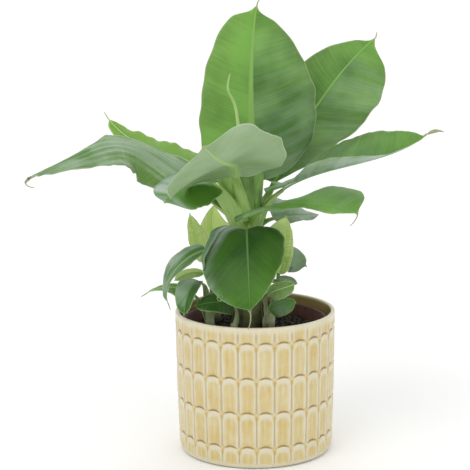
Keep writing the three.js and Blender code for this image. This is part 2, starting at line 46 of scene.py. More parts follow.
# Camera, worked out from the ellipses of the pot's rim and foot: place, downward tilt and roll in degrees,
# and the focal length in pixels of the square picture.
CAMERA_PLACE = (-17, -1400, 467)
CAMERA_TILT = 11.15
CAMERA_ROLL = 0.5
FOCAL_PIXELS = 1642
PICTURE_PIXELS = 470
SENSOR_WIDTH = 36
CLIP_END = 100

# Studio: half the width of the paper floor, how bright the white room is, and the wide suns: heading and
# height in degrees, spread in degrees and strength.
FLOOR_HALF = 40000
ROOM_STRENGTH = 0.82
SUNS = [
    ("key_light", -125, 48, 40, 0.7),
    ("fill_light", -60, 20, 60, 0.4),
    ("back_light", 80, 50, 60, 0.5),
]

# Pot: a straight-sided cylinder that narrows a little towards its foot.
POT_HEIGHT = 125
RIM_RADIUS = 70
SHOULDER_Z = 115
WAIST_RADIUS = 69.2
WAIST_Z = 60
HEEL_RADIUS = 67.6
HEEL_Z = 7
# The rounding from the flat underside to the wall: radius and height.
FOOT_CURVE = [[61.5, 0], [63.2, 0.35], [64.7, 1.1], [65.9, 2.3], [66.7, 3.8]]
WALL = 3.8
LIP_ROUND = 1.5
FLOOR_THICK = 5
FLOOR_CORNER = 6

# Relief of the pot: columns of tongues with arched heads, in rows.
COLUMNS = 28
ROWS = 4
ROW_PITCH = 30.5
FIRST_HEAD = 111.5
HEAD_DROP = 6
GROOVE_DEPTH = 1.05
DISH_DEPTH = 0.7
SINK_DEPTH = 0.55
CAP_LENGTH = 4.6
TONGUE_HALF = 7.3
RIDGE_WIDTH = 1.9
FLUTE_PITCH = 4.6
FLUTE_HEIGHT = 0.1
LOWEST_LINE = 5
BAND_Z = 121.5

# The nursery pot and its compost.
NURSERY_RIM_Z = 117.5
NURSERY_RIM_RADIUS = 62
NURSERY_FOOT_RADIUS = 54
NURSERY_WALL = 1.4
NURSERY_COLLAR = 7
NURSERY_COLLAR_STEP = 0.8
SOIL_Z = 108
SOIL_CROWN_RADIUS = 50
SOIL_DROP = 2
SOIL_MARGIN = 2.2
SOIL_SIDES = 120
NURSERY_SIDES = 96
CRUMB_RADIUS = 1.3
CRUMBS_PER_SQUARE_METRE = 90000.0
CLEARANCE = 0.3

# Leaf blades: thickness, the share of the length that tapers to the tip, the rib's radius at the tip, and
# the distance and height of the ribs that the side veins make.
SHEET = 0.45
DRIP_LENGTH = 0.035
RIB_TIP = 0.3
VEIN_SPACING = 7.5
VEIN_RELIEF = 0.11

# How far apart in the noise the patterns of two leaves and of two stalks lie.
LEAF_SEED_STEP = 3.7
STALK_SEED_STEP = 5.3

# How finely the plant is drawn. Blades have rows along them and columns in each half, and are long from
# LONG_LEAF on; a thread, a roll and its loose end have steps; stems, stalks, young sheaths and the rolled
# leaf have rings, and points round each ring.
LONG_LEAF = 60
LONG_BLADE_STEPS = (130, 18)
SHORT_BLADE_STEPS = (80, 12)
THREAD_STEPS = 12
ROLL_STEPS = 16
LOOSE_END_STEPS = 11
MAIN_CORE_STEPS = (120, 96)
SHOOT_CORE_STEPS = (50, 48)
STALK_RINGS = 34
CLASP_RINGS = 29
STALK_STEPS = 22
FAN_STEPS = (40, 64)
SPEAR_STEPS = (110, 40)

# Main stem and side shoots: foot on the compost, top of the sheath, the radii at foot, waist and top, and
# how far under a stalk's foot its own sheath begins.
STEMS = [
    dict(name="stem_main", foot=[-7, -1], top=[-7, -1, 218], radii=[15, 12.4, 7], clasp=48),
    dict(name="stem_pup_left", foot=[-39, -9], top=[-41, -7, 131], radii=[5, 4.2, 2.6], clasp=9),
    dict(name="stem_pup_back_left", foot=[-34, 25], top=[-35.5, 24, 130], radii=[5, 4.2, 2.6], clasp=9),
    dict(name="stem_pup_front", foot=[-19, -22], top=[-19, -20.5, 117], radii=[3.4, 3, 2], clasp=3),
    dict(name="stem_pup_right", foot=[12.5, -10], top=[13.5, -7, 123], radii=[4.6, 4.4, 2.6], clasp=5),
    dict(name="stem_pup_back", foot=[-8, 35], top=[-9, 36.5, 121], radii=[4.4, 4, 2.4], clasp=4),
]

# The sheath's outline: share of its height, and the place from foot (0) over waist (1) to top (2).
SHEATH = [[0, 0], [0.1, 0.6], [0.28, 1], [0.6, 1.1], [0.86, 1.35], [1, 2]]

# Young sheaths that stand between the stalks of the main stem, wide across the picture and thin at the top:
# their middle line, half their width and depth at foot, middle and top, and how much lighter or darker they
# are painted, as painted light and shade.
FANS = [
    dict(
        path=[[-8, -1, 186], [-12, -2, 212], [-30, -1, 252]],
        halves=[12, 10.5, 7], depths=[11, 7, 1.5], light=0,
    ),
    dict(
        path=[[-7, -4, 184], [-14, -9, 205], [-37, -12, 238]],
        halves=[10, 8, 4.5], depths=[10, 5, 1.2], light=0.15,
    ),
    dict(
        path=[[-6, 0, 186], [-2, 3, 214], [5, 9, 250]],
        halves=[11, 8, 4.5], depths=[12, 7, 1.5], light=-0.15,
    ),
    dict(
        path=[[-7, 0, 186], [-8, -2, 214], [-10, -3, 256]],
        halves=[12, 9, 5], depths=[12, 7, 2], light=-0.25,
    ),
]

# Each leaf: its stem, the midrib's way from foot over collar to tip, which way the upper face looks at
# the collar and at the tip (heading and height in degrees), the widths of its two halves, the powers of
# their outlines, how far the halves stand up from the midrib and curl at collar and tip (degrees), the
# margin's waves (height, number), the stalk's radii at foot and collar, how far the lobes beside the collar
# reach back along the stalk, and the steps of the dry thread at the tip. The left half, of someone who looks
# along the blade from above, is side 0 and comes first. Only the looks need the rest, and shares are of the
# blade's length:
# - looks: the tones, where they aren't those of the tint
# - spread, stalk_painted_light: how much wider the stalk is where it clasps the stem, and how much lighter it
#   is painted, as painted light on a shaded stalk
# - rib, sweep: half the midrib's width as seen, and how far the side veins lean towards the tip
# - narrow, pinch: shares between which the blade broadens out of its rolled base, and that the pinched tip
#   takes
# - dents: dips of the margin: side, middle and reach as shares, and depth
# - thread_halves, dry: half the width of the thread along it, and how dry it is
# - curled: middle and radius of a fibre that has curled into a ring
# - light, bloom_and_sheen: how much lighter or darker the blade is painted, as painted light and shade where
#   it lies lit, glows through or lies in shadow, and how much blue wax bloom with painted sheen it has, at
#   collar and tip for both halves; a number below 0 makes the bloom start later
# - bloom_and_sheen_end, rim, under_bloom: shares between which the bloom and its painted sheen end, and bloom
#   with painted sheen along the margins, and bloom below
# - crease, ripple: height and pitch of creases along the blade, and height of the margin's small ripples
# - rolls: margins that roll up: side, span of the blade, radii along the roll, how far it turns, where its
#   loose end reaches and how dry that is
LEAVES = [
    dict(
        name="leaf_tall", stem="stem_main", tint="bright",
        path=[[-5, 3, 196], [-2, 13, 236], [-2, 26, 310], [4, 34, 388]], faces=[[-90, 6], [-88, 6]],
        halves=[45, 57], outline=[[0.21, 0.45], [0.5, 0.74]],
        fold=[[8, 8], [8, 9]], curl=[[12, 12], [10, 9]], wave=[1.5, 3],
        stalk=[5.2, 2.9], tail=[[2, 0, 4], [3, 0, 2]],
        spread=1.5, pinch=0.085, rib=4,
        light=[[0.2, -0.7], [0.4, 0.1]], bloom_and_sheen=[[0, 0.25], [0, 0.05]],
    ),
    dict(
        name="leaf_tall_right", stem="stem_main", tint="bright",
        path=[[-1, 4, 200], [18, 36, 231], [59, 70, 297], [112, 92, 354]], faces=[[-121, 24], [-103, 18]],
        halves=[51, 49], outline=[[0.33, 0.8], [0.55, 0.5]],
        fold=[[12, 25], [-3, -3]], curl=[[8, -1], [16, 15]], wave=[1.5, 3],
        stalk=[5, 2.7], tail=[[1, 0, 5]],
        spread=1.8, pinch=0.085, rib=1.9, light=[[-0.7, -0.9], [0, 0]], bloom_and_sheen=[[0, 0.1], [0, 0.2]],
    ),
    dict(
        name="leaf_right_long", stem="stem_main", tint="bright",
        path=[[0, -1, 202], [24, -4, 232], [79, -16, 254], [146, -24, 281]], faces=[[-90, 80], [-91, 71]],
        halves=[39, 39], outline=[[0.51, 0.7], [0.35, 0.62]],
        fold=[[6, 37], [21, 25]], curl=[[0, 0], [0, 0]], wave=[1, 2],
        stalk=[4.6, 2.6], tail=[[8, 0, 3], [6, 0, -1]],
        spread=1.6, thread_halves=[0.8, 1.6, 1.8, 0.9, 0.3], rib=1.9, narrow=[0.05, 0.3],
        light=[[-0.8, -0.2], [-0.1, 0]], bloom_and_sheen=[[0.15, 0], [0, 0]], under_bloom=1,
        rolls=[dict(side=0, span=[0.015, 0.2], radii=[2.4, 2, 0.3], turn=320, reach=[-9, 2, 1.5], dry=0.2),
               dict(side=1, span=[0.015, 0.2], radii=[2.5, 2, 0.3], turn=320, reach=[-15, -1, -5], dry=0.2)],
    ),
    dict(
        name="leaf_right_front", stem="stem_main", tint="bright",
        path=[[-3, -7, 203], [7, -24, 218], [58, -42, 225], [86, -50, 218]], faces=[[-90, 85], [-76, 64]],
        halves=[40, 12], outline=[[0.56, 0.19], [0.28, 0.54]],
        fold=[[-7, -7], [9, 2]], curl=[[12, 5], [20, 19]], wave=[1.5, 2],
        stalk=[3.8, 2], tail=[[-3, -1, -6], [-4, 0, -4]],
        spread=1.4, rib=0.35, light=[[0.2, 0.2], [0.2, 0.2]], bloom_and_sheen=[[0.1, 0], [0.2, 0.1]],
        rolls=[dict(side=1, span=[0.1, 0.36], radii=[2.4, 1.9, 0.3], turn=250, reach=[-26, 3, -10])],
    ),
    dict(
        name="leaf_right_low", stem="stem_main", tint="blue",
        path=[[0, 3, 196], [16, 8, 204], [38, 16, 205], [57, 26, 204]], faces=[[-89, 54], [-91, 83]],
        halves=[24, 10], outline=[[0.35, 0.53], [0.38, 0.52]],
        fold=[[14, 0], [7, 2]], curl=[[7, 10], [12, 8]], wave=[1, 2],
        stalk=[3.6, 1.8],
        bloom_and_sheen=[[0.3, 0.3], [0.4, 0.4]],
    ),
    dict(
        name="leaf_front_hanging", stem="stem_main", tint="dark",
        path=[[-7, -9, 206], [-7, -26, 201], [-6, -52, 171], [-5, -77, 141]],
        faces=[[-90, 36], [-105, 17]],
        halves=[32, 39], outline=[[0.25, 0.68], [0.46, 0.64]],
        fold=[[2, 6], [27, 20]], curl=[[18, 16], [-6, -1]], wave=[1.2, 2],
        stalk=[3, 1.5], lobe=6, tail=[[0, -3, -8], [-2, -1, -6]],
        rib=1, dry=0.5, sweep=1.1, light=[[-0.7, -0.5], [0.6, 0.5]], rim=[0, 1.2],
        curled=dict(middle=[-30, -67.5, 150.8], radius=2.3),
        rolls=[dict(side=1, span=[0.02, 0.5], radii=[0.5, 5, 3.4, 0.4], turn=205, reach=[0, 0, 0])],
    ),
    dict(
        name="leaf_front_arching", stem="stem_main", tint="pale",
        path=[[-8, -6, 206], [-16, -18, 246], [-22, -83, 266], [-41, -140, 289]],
        faces=[[153, 66], [147, 76]],
        halves=[48, 54], outline=[[0.5, 0.43], [0.22, 0.22]],
        fold=[[-31, 11], [42, -12]], curl=[[15, 11], [-4, 28]], wave=[3, 2.5],
        stalk=[5.4, 3],
        spread=1.6, stalk_painted_light=0.06, rib=5, light=[[-0.3, -0.5], [0, 0.4]],
    ),
    dict(
        name="leaf_left_long", stem="stem_main", tint="blue", looks="streaked",
        path=[[-12, -3, 208], [-48, -4, 233], [-110, -12, 275], [-118, -20, 277], [-190, -34, 249]],
        faces=[[-95, 66], [74, 56]],
        halves=[31, 19], outline=[[0.31, 0.48], [0.25, 0.73]],
        fold=[[-47, 16], [-31, -8]], curl=[[30, 0], [16, 0]], wave=[3, 2],
        stalk=[4.8, 2.6], tail=[[-3, 0, -5], [7, 0, -4]], pinch=0.02, thread_halves=[2.6, 0.6, 0.3],
        spread=1.4, stalk_painted_light=0.12, rib=0.7, light=[[0.1, -0.4], [-0.5, -0.3]],
        bloom_and_sheen=[[0.55, 0.5], [0.3, 0]], crease=[0.6, 6],
        dents=[dict(side=0, middle=0.35, reach=0.09, depth=6), dict(side=1, middle=0.6, reach=0.09, depth=4)],
    ),
    dict(
        name="leaf_left_back", stem="stem_main", tint="lime",
        path=[[-11, 4, 204], [-31, 24, 235], [-87, 50, 258], [-131, 72, 286]],
        faces=[[-81, 56], [-62, 43]],
        halves=[16, 19], outline=[[0.29, 0.57], [0.29, 0.62]],
        fold=[[1, 1], [-2, -5]], curl=[[9, 9], [2, 3]], wave=[1.5, 4],
        stalk=[4.2, 2.2], tail=[[-3, 1, 5]],
        spread=1.8, rib=0.3, ripple=0.8, light=[[-1, -1], [-0.9, -0.9]],
    ),
    dict(
        name="leaf_left_front", stem="stem_main", tint="dark",
        path=[[-14, -5, 208], [-28, -13, 234], [-60, -28, 238], [-76, -42, 227]],
        faces=[[-90, 74], [-104, 49]],
        halves=[29, 23], outline=[[0.48, 0.35], [0.43, 0.38]],
        fold=[[1, -2], [-3, 4]], curl=[[9, 12], [12, 7]], wave=[1, 2],
        stalk=[4, 2],
        spread=1.8, stalk_painted_light=0.15, light=[[0.1, 0.1], [0.9, 0.8]], bloom_and_sheen=[[-6, 0], [1.6, 1.6]],
        bloom_and_sheen_end=[0.97, 1],
    ),
    dict(
        name="pup_left_leaf_arching", stem="stem_pup_left", tint="blue", looks="streaked",
        path=[[-40, -6, 128], [-42, -10, 180], [-66, -22, 168], [-75, -34, 139]],
        faces=[[-69, 53], [-162, -4]],
        halves=[7.5, 11.2], outline=[[0.54, 0.56], [0.35, 0.62]],
        fold=[[-2, 1], [19, 10]], curl=[[0, 0], [0, 0]], wave=[0.6, 2],
        stalk=[2.2, 1.1], tail=[[2, 0, -6]],
        stalk_painted_light=0.2, sweep=4, crease=[0.25, 3],
        light=[[-1.2, -1.3], [-0.8, -0.6]], bloom_and_sheen=[[0, 0.6], [0.3, 0.6]],
    ),
    dict(
        name="pup_left_leaf_hanging", stem="stem_pup_left", tint="dark",
        path=[[-42, -10, 124], [-48, -20, 155], [-53, -32, 155], [-61, -42, 130]],
        faces=[[-102, 49], [-108, 11]],
        halves=[8, 12], outline=[[0.43, 0.45], [0.42, 0.54]],
        fold=[[12, 6], [19, 18]], curl=[[8, 12], [1, 2]], wave=[0.5, 2],
        stalk=[2.2, 1.1],
        spread=2, sweep=2, stalk_painted_light=0.2, light=[[-0.9, -0.2], [-0.5, -0.2]], bloom_and_sheen=[[0, 0.5], [0, 0.3]],
    ),
    dict(
        name="pup_left_leaf_outer", stem="stem_pup_left", tint="bright", looks="pale",
        path=[[-43, -8, 122], [-55, -4, 140], [-75, -8, 147], [-94, -14, 143]],
        faces=[[-93, 35], [-96, 56]],
        halves=[11, 4], outline=[[0.34, 1.5], [0.35, 0.8]],
        fold=[[3, 5], [10, 3]], curl=[[0, 0], [0, 0]], wave=[0.4, 2],
        stalk=[2.2, 1.1], tail=[[-5, 0, -3]],
    ),
    dict(
        name="pup_left_leaf_narrow", stem="stem_pup_left", tint="bright", looks="lime",
        path=[[-40, -4, 128], [-45, 4, 157], [-57, 0, 158], [-70, -6, 152]], faces=[[-90, 62], [-89, 59]],
        halves=[10, 4], outline=[[0.4, 0.6], [0.42, 0.58]],
        fold=[[12, 20], [12, 20]], curl=[[0, 0], [0, 0]], wave=[0, 2],
        stalk=[1.5, 0.8],
        spread=2, stalk_painted_light=0.2, light=[[-0.7, 0], [-0.4, 0.2]],
    ),
    dict(
        name="pup_back_left_leaf_outer", stem="stem_pup_back_left", tint="lime",
        path=[[-37, 23, 126], [-44, 25, 162], [-51, 28, 183], [-57, 30, 205]],
        faces=[[-74, 16], [-72, 16]],
        halves=[10, 10], outline=[[0.39, 0.81], [0.39, 0.82]],
        fold=[[24, 24], [25, 24]], curl=[[8, 8], [8, 8]], wave=[0.4, 2],
        stalk=[2.2, 1.1],
        crease=[0.4, 3.2], light=[[0.8, 0.8], [0.6, 0.6]],
    ),
    dict(
        name="pup_back_left_leaf_inner", stem="stem_pup_back_left", tint="lime",
        path=[[-34, 25, 126], [-33, 34, 166], [-36, 44, 176], [-35, 52, 210]],
        faces=[[-90, 17], [-96, 18]],
        halves=[14, 23], outline=[[0.37, 0.88], [0.4, 0.84]],
        fold=[[20, 20], [22, 24]], curl=[[0, 0], [0, 0]], wave=[0, 2],
        stalk=[2.2, 1.1],
        crease=[0.4, 3.6], light=[[0.8, 0.8], [0.6, 0.6]],
    ),
    dict(
        name="pup_front_leaf", stem="stem_pup_front", tint="dark",
        path=[[-19, -21, 112], [-18, -20, 132], [-26, -28, 138], [-52, -36, 137]],
        faces=[[-88, 39], [-87, 54]],
        halves=[12, 11], outline=[[0.32, 0.57], [0.34, 0.53]],
        fold=[[-2, 0], [1, -3]], curl=[[11, 10], [9, 12]], wave=[0.5, 2],
        stalk=[2.2, 1.1],
        rib=0.6, crease=[0.3, 3], light=[[-0.5, -0.5], [-0.3, -0.3]],
    ),
    dict(
        name="pup_right_leaf_upright", stem="stem_pup_right", tint="lime",
        path=[[13, -6, 120], [21, -8, 158], [26, -11, 185], [27, -12, 210]], faces=[[-116, 6], [-116, 3]],
        halves=[22, 11], outline=[[0.38, 0.66], [0.4, 0.74]],
        fold=[[20, 20], [20, 19]], curl=[[0, 0], [0, 0]], wave=[0, 2],
        stalk=[2.2, 1.1],
        crease=[0.4, 3.6], light=[[0.3, 0.3], [0.2, 0.2]],
    ),
    dict(
        name="pup_right_leaf_back", stem="stem_pup_right", tint="blue",
        path=[[15, -5, 120], [21, 18, 156], [24, 26, 163], [47, 34, 155]], faces=[[-90, 29], [-89, 19]],
        halves=[10, 14], outline=[[0.49, 0.39], [0.51, 0.3]],
        fold=[[0, 0], [0, 0]], curl=[[6, 6], [6, 6]], wave=[0.5, 2],
        stalk=[2.2, 1.1],
        bloom_and_sheen=[[0.3, 0.3], [0.3, 0.3]],
    ),
    dict(
        name="pup_right_leaf_small", stem="stem_pup_right", tint="blue",
        path=[[14, -8, 120], [19, 14, 148], [28, 18, 147], [38, 22, 142]], faces=[[-90, 49], [-90, 29]],
        halves=[4, 6], outline=[[0.5, 0.6], [0.5, 0.6]],
        fold=[[0, 0], [10, 10]], curl=[[10, 10], [10, 10]], wave=[0, 2],
        stalk=[1.5, 0.8],
    ),
    dict(
        name="pup_right_leaf_folded", stem="stem_pup_right", tint="bright", looks="lime",
        path=[[11, -12, 115], [11, -16, 140], [17, -26, 147], [34, -32, 154]],
        faces=[[-89, 22], [-90, 28]],
        halves=[7, 9], outline=[[0.43, 0.43], [0.43, 0.42]],
        fold=[[1, 0], [0, 1]], curl=[[10, 10], [10, 9]], wave=[0, 2],
        stalk=[2.2, 1.1],
        rib=0.4, crease=[0.4, 2.6], light=[[-0.6, -0.5], [-0.6, -0.5]], bloom_and_sheen=[[0.6, 0.6], [0.2, 0.2]],
    ),
    dict(
        name="pup_right_leaf_low", stem="stem_pup_right", tint="dark",
        path=[[9, -14, 112], [12, -20, 128], [25, -26, 136], [35, -28, 137]],
        faces=[[-90, 32], [-90, 32]],
        halves=[5, 11], outline=[[0.35, 0.37], [0.34, 0.43]],
        fold=[[0, 0], [0, 0]], curl=[[10, 10], [10, 10]], wave=[0, 2],
        stalk=[2.2, 1.1],
        rib=0.5, crease=[0.4, 2.8], light=[[0.8, 0.8], [0.8, 0.8]], bloom_and_sheen=[[0.4, 0.4], [0.2, 0.2]],
    ),
    dict(
        name="leaf_back_hanging", stem="stem_main", tint="dark",
        path=[[-7, 3, 180], [-4, 18, 186], [1, 39, 173], [4, 56, 142]], faces=[[90, 61], [90, 14]],
        halves=[18, 19], outline=[[0.28, 0.5], [0.28, 0.5]],
        fold=[[5, 5], [5, 5]], curl=[[15, 12], [15, 12]], wave=[1.2, 2],
        stalk=[3.4, 1.7],
    ),
    dict(
        name="pup_back_leaf_right", stem="stem_pup_back", tint="dark",
        path=[[-8, 36, 114], [-4, 41, 128], [9, 53, 136], [26, 68, 131]], faces=[[90, 79], [63, 50]],
        halves=[11, 11], outline=[[0.35, 0.5], [0.35, 0.5]],
        fold=[[10, 5], [10, 5]], curl=[[10, 5], [10, 5]], wave=[0.5, 2],
        stalk=[2.2, 1.1],
    ),
    dict(
        name="pup_back_leaf_left", stem="stem_pup_back", tint="dark",
        path=[[-10, 37, 114], [-14, 43, 128], [-26, 54, 138], [-42, 66, 134]],
        faces=[[90, 79], [117, 50]],
        halves=[10, 10], outline=[[0.35, 0.5], [0.35, 0.5]],
        fold=[[10, 5], [10, 5]], curl=[[10, 5], [10, 5]], wave=[0.5, 2],
        stalk=[2.2, 1.1],
    ),
]

# The rolled new leaf in the middle of the plant.
SPEAR = [[-9, 1.5, 218.3], [-11, 5, 250], [-15, 9, 298], [-22, 6, 317], [-20, 6, 331]]
SPEAR_RADII = [2.2, 2.1, 1.4, 1.1, 0.5]

# A Mix node's sockets when it mixes colours.
MIX_A = 6
MIX_B = 7
MIX_RESULT = 2


def linear(colour):
    """An sRGB hex colour as linear red, green, blue and alpha."""
    channels = [int(colour[i:i + 2], 16) / 255 for i in (1, 3, 5)]
    return [c / 12.92 if c <= 0.04045 else ((c + 0.055) / 1.055) ** 2.4 for c in channels] + [1.0]


def add(tree, kind, inputs=None, stops=None, **settings):
    """Adds a node, with its settings, its linked or constant inputs and a ramp's colour stops.

    A node given as an input stands for its first output, and a hex colour for its linear value."""
    node = tree.nodes.new(kind)
    for name, value in settings.items():
        setattr(node, name, value)
    for socket, value in (inputs or {}).items():
        if isinstance(value, bpy.types.Node):
            value = value.outputs[0]
        if isinstance(value, str):
            value = linear(value)
        if isinstance(value, bpy.types.NodeSocket):
            tree.links.new(value, node.inputs[socket])
        else:
            node.inputs[socket].default_value = value
    for i, (place, colour) in enumerate(stops or []):
        element = node.color_ramp.elements[i] if i < 2 else node.color_ramp.elements.new(place)
        element.position = place
        element.color = linear(colour)
    return node


def new_material(name):
    """A material with an empty tree, and the output that gives each point's place on its object."""
    material = bpy.data.materials.new(name)
    material.use_nodes = True
    tree = material.node_tree
    tree.nodes.clear()
    return material, tree, add(tree, "ShaderNodeTexCoord").outputs["Object"]


def finish_material(tree, colour, height, depth, roughness, **constants):
    """Ends a material in a Principled shader with a bump of the given depth in millimetres."""
    bump = add(tree, "ShaderNodeBump", {"Height": height, "Distance": depth * MM, "Strength": 1.0})
    inputs = {"Base Color": colour, "Roughness": roughness, "Normal": bump}
    inputs.update({name.replace("_", " "): value for name, value in constants.items()})
    shader = add(tree, "ShaderNodeBsdfPrincipled", inputs)
    add(tree, "ShaderNodeOutputMaterial", {"Surface": shader})


def ease(x, low, high):
    """0 below low, 1 above high and a smooth way between."""
    k = np.clip((x - low) / (high - low), 0, 1)
    return k * k * (3 - 2 * k)


def unit(v):
    """Directions of length 1."""
    return v / np.maximum(np.linalg.norm(v, axis=-1, keepdims=True), 1e-9)


def mix(a, b, k):
    """The value at share k of the way from a to b."""
    return a + (b - a) * k


def direction(heading, height):
    """The direction with this heading and height, both in degrees."""
    a, e = math.radians(heading), math.radians(height)
    return np.array([math.cos(e) * math.cos(a), math.cos(e) * math.sin(a), math.sin(e)])


def curve_through(points):
    """One polynomial curve through all the points: its knots, its length, and the point at any share."""
    points = np.array(points, float)
    chords = np.linalg.norm(np.diff(points, axis=0), axis=1)
    knots = np.concatenate([[0], np.cumsum(chords)]) / chords.sum()

    def at(t):
        total = np.zeros((len(t), 3))
        for i, point in enumerate(points):
            weight = np.ones(len(t))
            for j, knot in enumerate(knots):
                if j != i:
                    weight = weight * (t - knot) / (knots[i] - knot)
            total += weight[:, None] * point
        return total

    return knots, chords.sum(), at


def follow(at, t):
    """Points of a curve at shares t, and the directions in which it runs there."""
    return at(t), unit(at(t + 1e-3) - at(t - 1e-3))


def square_to(way, face):
    """The direction nearest to face that is square to the way, at every point."""
    return unit(face - (face * way).sum(axis=1, keepdims=True) * way)


def beside(centres, first, a, second, b):
    """Points beside each centre: a along the first direction and b along the second."""
    return centres[:, None] + first[:, None] * a[..., None] + second[:, None] * b[..., None]


def piece_from(name, points, faces, materials, attributes=None, slots=None, flat=None):
    """A piece from points in millimetres, its faces, and values that its materials read at each point."""
    mesh = bpy.data.meshes.new(name)
    mesh.from_pydata((np.asarray(points, float) * MM).tolist(), [], faces)
    for key, values in (attributes or {}).items():
        layer = mesh.attributes.new(key, "FLOAT", "POINT")
        layer.data.foreach_set("value", np.asarray(values, np.float32).ravel())
    for material in materials:
        mesh.materials.append(material)
    if slots is not None:
        mesh.polygons.foreach_set("material_index", np.asarray(slots, np.int32))
    smooth = np.ones(len(faces), bool)
    if flat is not None:
        smooth[flat] = False
    mesh.polygons.foreach_set("use_smooth", smooth)
    mesh.update()
    piece = bpy.data.objects.new(name, mesh)
    bpy.context.scene.collection.objects.link(piece)
    return piece


def declare(piece, node):
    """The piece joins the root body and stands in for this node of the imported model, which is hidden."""
    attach(piece, "root")
    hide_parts(node)


def tube_faces(rings, sides, first=0):
    """Faces of a tube of rings, with a fan over both ends round the two points that follow the rings."""
    faces = []
    for i in range(rings - 1):
        a = first + i * sides
        for j in range(sides):
            k = (j + 1) % sides
            faces.append((a + j, a + k, a + sides + k, a + sides + j))
    low, high = first + rings * sides, first + rings * sides + 1
    last = first + (rings - 1) * sides
    for j in range(sides):
        k = (j + 1) % sides
        faces.append((low, first + k, first + j))
        faces.append((high, last + j, last + k))
    return faces


def with_ends(rings):
    """All points of the rings and then the middles of the first and the last ring."""
    return np.concatenate([rings.reshape(-1, 3), [rings[0].mean(axis=0)], [rings[-1].mean(axis=0)]])


def value_with_ends(value):
    """A value at all points of the rings and then at the middles of the first and the last ring."""
    return np.append(value.ravel(), [value[0, 0], value[-1, 0]])


def run_nodes(piece, tree, values):
    """Runs a Geometry Nodes tree on a piece and keeps the result as its plain mesh."""
    modifier = piece.modifiers.new("nodes", "NODES")
    modifier.node_group = tree
    for item in tree.interface.items_tree:
        if item.in_out == "INPUT" and item.name in values:
            modifier[item.identifier] = values[item.name]
    graph = bpy.context.evaluated_depsgraph_get()
    result = bpy.data.meshes.new_from_object(
        piece.evaluated_get(graph), preserve_all_data_layers=True, depsgraph=graph)
    piece.modifiers.remove(modifier)
    piece.data = result


def new_nodes(name, inputs):
    """An empty Geometry Nodes tree with a geometry in and out and these named inputs."""
    tree = bpy.data.node_groups.new(name, "GeometryNodeTree")
    tree.interface.new_socket("Geometry", in_out="INPUT", socket_type="NodeSocketGeometry")
    for label, kind in inputs.items():
        tree.interface.new_socket(label, in_out="INPUT", socket_type=kind)
    tree.interface.new_socket("Geometry", in_out="OUTPUT", socket_type="NodeSocketGeometry")
    return tree, add(tree, "NodeGroupInput").outputs


# Materials


def streaks_of(tree, wide, wide_size, long, long_size, seed, **settings):
    """Noise in streaks: how wide they are along one value of the mesh and how long along another."""
    across = add(tree, "ShaderNodeMath", {0: wide, 1: 1 / wide_size}, operation="MULTIPLY")
    along = add(tree, "ShaderNodeMath", {0: long, 1: 1 / long_size}, operation="MULTIPLY")
    place = add(tree, "ShaderNodeCombineXYZ", {0: across, 1: along, 2: seed})
    return add(tree, "ShaderNodeTexNoise", {"Vector": place, "Scale": 1.0, **settings})


def glaze_material():
    """Glazed earthenware, dipped: cream where the glaze is thin on raised clay, honey where it pools."""
    material, tree, place = new_material("glazed_earthenware")
    values = {
        key: add(tree, "ShaderNodeAttribute", attribute_name=key).outputs["Fac"]
        for key in ("pool", "groove", "line", "inside")
    }
    # Glaze gathers in patches about 11 mm wide, so the honey tone isn't even.
    patches = add(tree, "ShaderNodeTexNoise", {"Vector": place, "Scale": 1 / (11 * MM), "Detail": 3.0})
    # It has run down in streaks about 2.4 mm wide and 26 mm long; the seam of their angle is at the back.
    axes = add(tree, "ShaderNodeSeparateXYZ", {0: place})
    front = add(tree, "ShaderNodeMath", {0: axes.outputs[1], 1: -1.0}, operation="MULTIPLY")
    heading = add(tree, "ShaderNodeMath", {0: axes.outputs[0], 1: front}, operation="ARCTAN2")
    runs = streaks_of(
        tree, heading, 2.4 / RIM_RADIUS, axes.outputs[2], 26 * MM, 0.0, Detail=2.0)
    both = add(tree, "ShaderNodeMath", {0: patches, 1: runs}, operation="ADD")
    uneven = add(tree, "ShaderNodeMath", {0: both, 1: 1.0}, operation="SUBTRACT")
    pooled = add(
        tree, "ShaderNodeMath", {0: uneven, 1: 0.9, 2: values["pool"]},
        operation="MULTIPLY_ADD", use_clamp=True)
    cream = add(
        tree, "ShaderNodeValToRGB", {"Fac": pooled},
        stops=[(0.0, "#d5cdb3"), (0.3, "#d2c7a3"), (0.65, "#cdbc89"), (1.0, "#c9ae6e")])
    # The glaze is darker in the grooves and in the arch lines, where it pools; the inner wall is painted
    # darker, as painted shade inside the pot.
    colour = cream
    for key, tone in (("groove", "#b9a47c"), ("line", "#947c48"), ("inside", "#a8925f")):
        layer = add(tree, "ShaderNodeMix", {0: values[key], MIX_A: colour, MIX_B: tone}, data_type="RGBA")
        colour = layer.outputs[MIX_RESULT]
    # Orange peel of the fired glaze, about 1.6 mm from hump to hump.
    peel = add(tree, "ShaderNodeTexNoise", {"Vector": place, "Scale": 1 / (1.6 * MM), "Detail": 1.0})
    rough = add(tree, "ShaderNodeMapRange", {"Value": patches, "To Min": 0.12, "To Max": 0.26})
    finish_material(tree, colour, peel, 0.05, rough, IOR=1.5)
    return material


def nursery_material():
    """Recycled polypropylene, injection moulded: reddish brown, dull, with fine scuffs."""
    material, tree, place = new_material("recycled_polypropylene")
    # Scuffs and dust about 5 mm wide.
    dust = add(tree, "ShaderNodeTexNoise", {"Vector": place, "Scale": 1 / (5 * MM), "Detail": 4.0})
    tone = add(tree, "ShaderNodeValToRGB", {"Fac": dust}, stops=[(0.35, "#4a241d"), (0.75, "#6b3d30")])
    rough = add(tree, "ShaderNodeMapRange", {"Value": dust, "To Min": 0.45, "To Max": 0.7})
    # The mould's grain, drawn at 0.8 mm because the real grain is too fine to show.
    grain = add(tree, "ShaderNodeTexNoise", {"Vector": place, "Scale": 1 / (0.8 * MM), "Detail": 2.0})
    finish_material(tree, tone, grain, 0.06, rough, IOR=1.49)
    return material


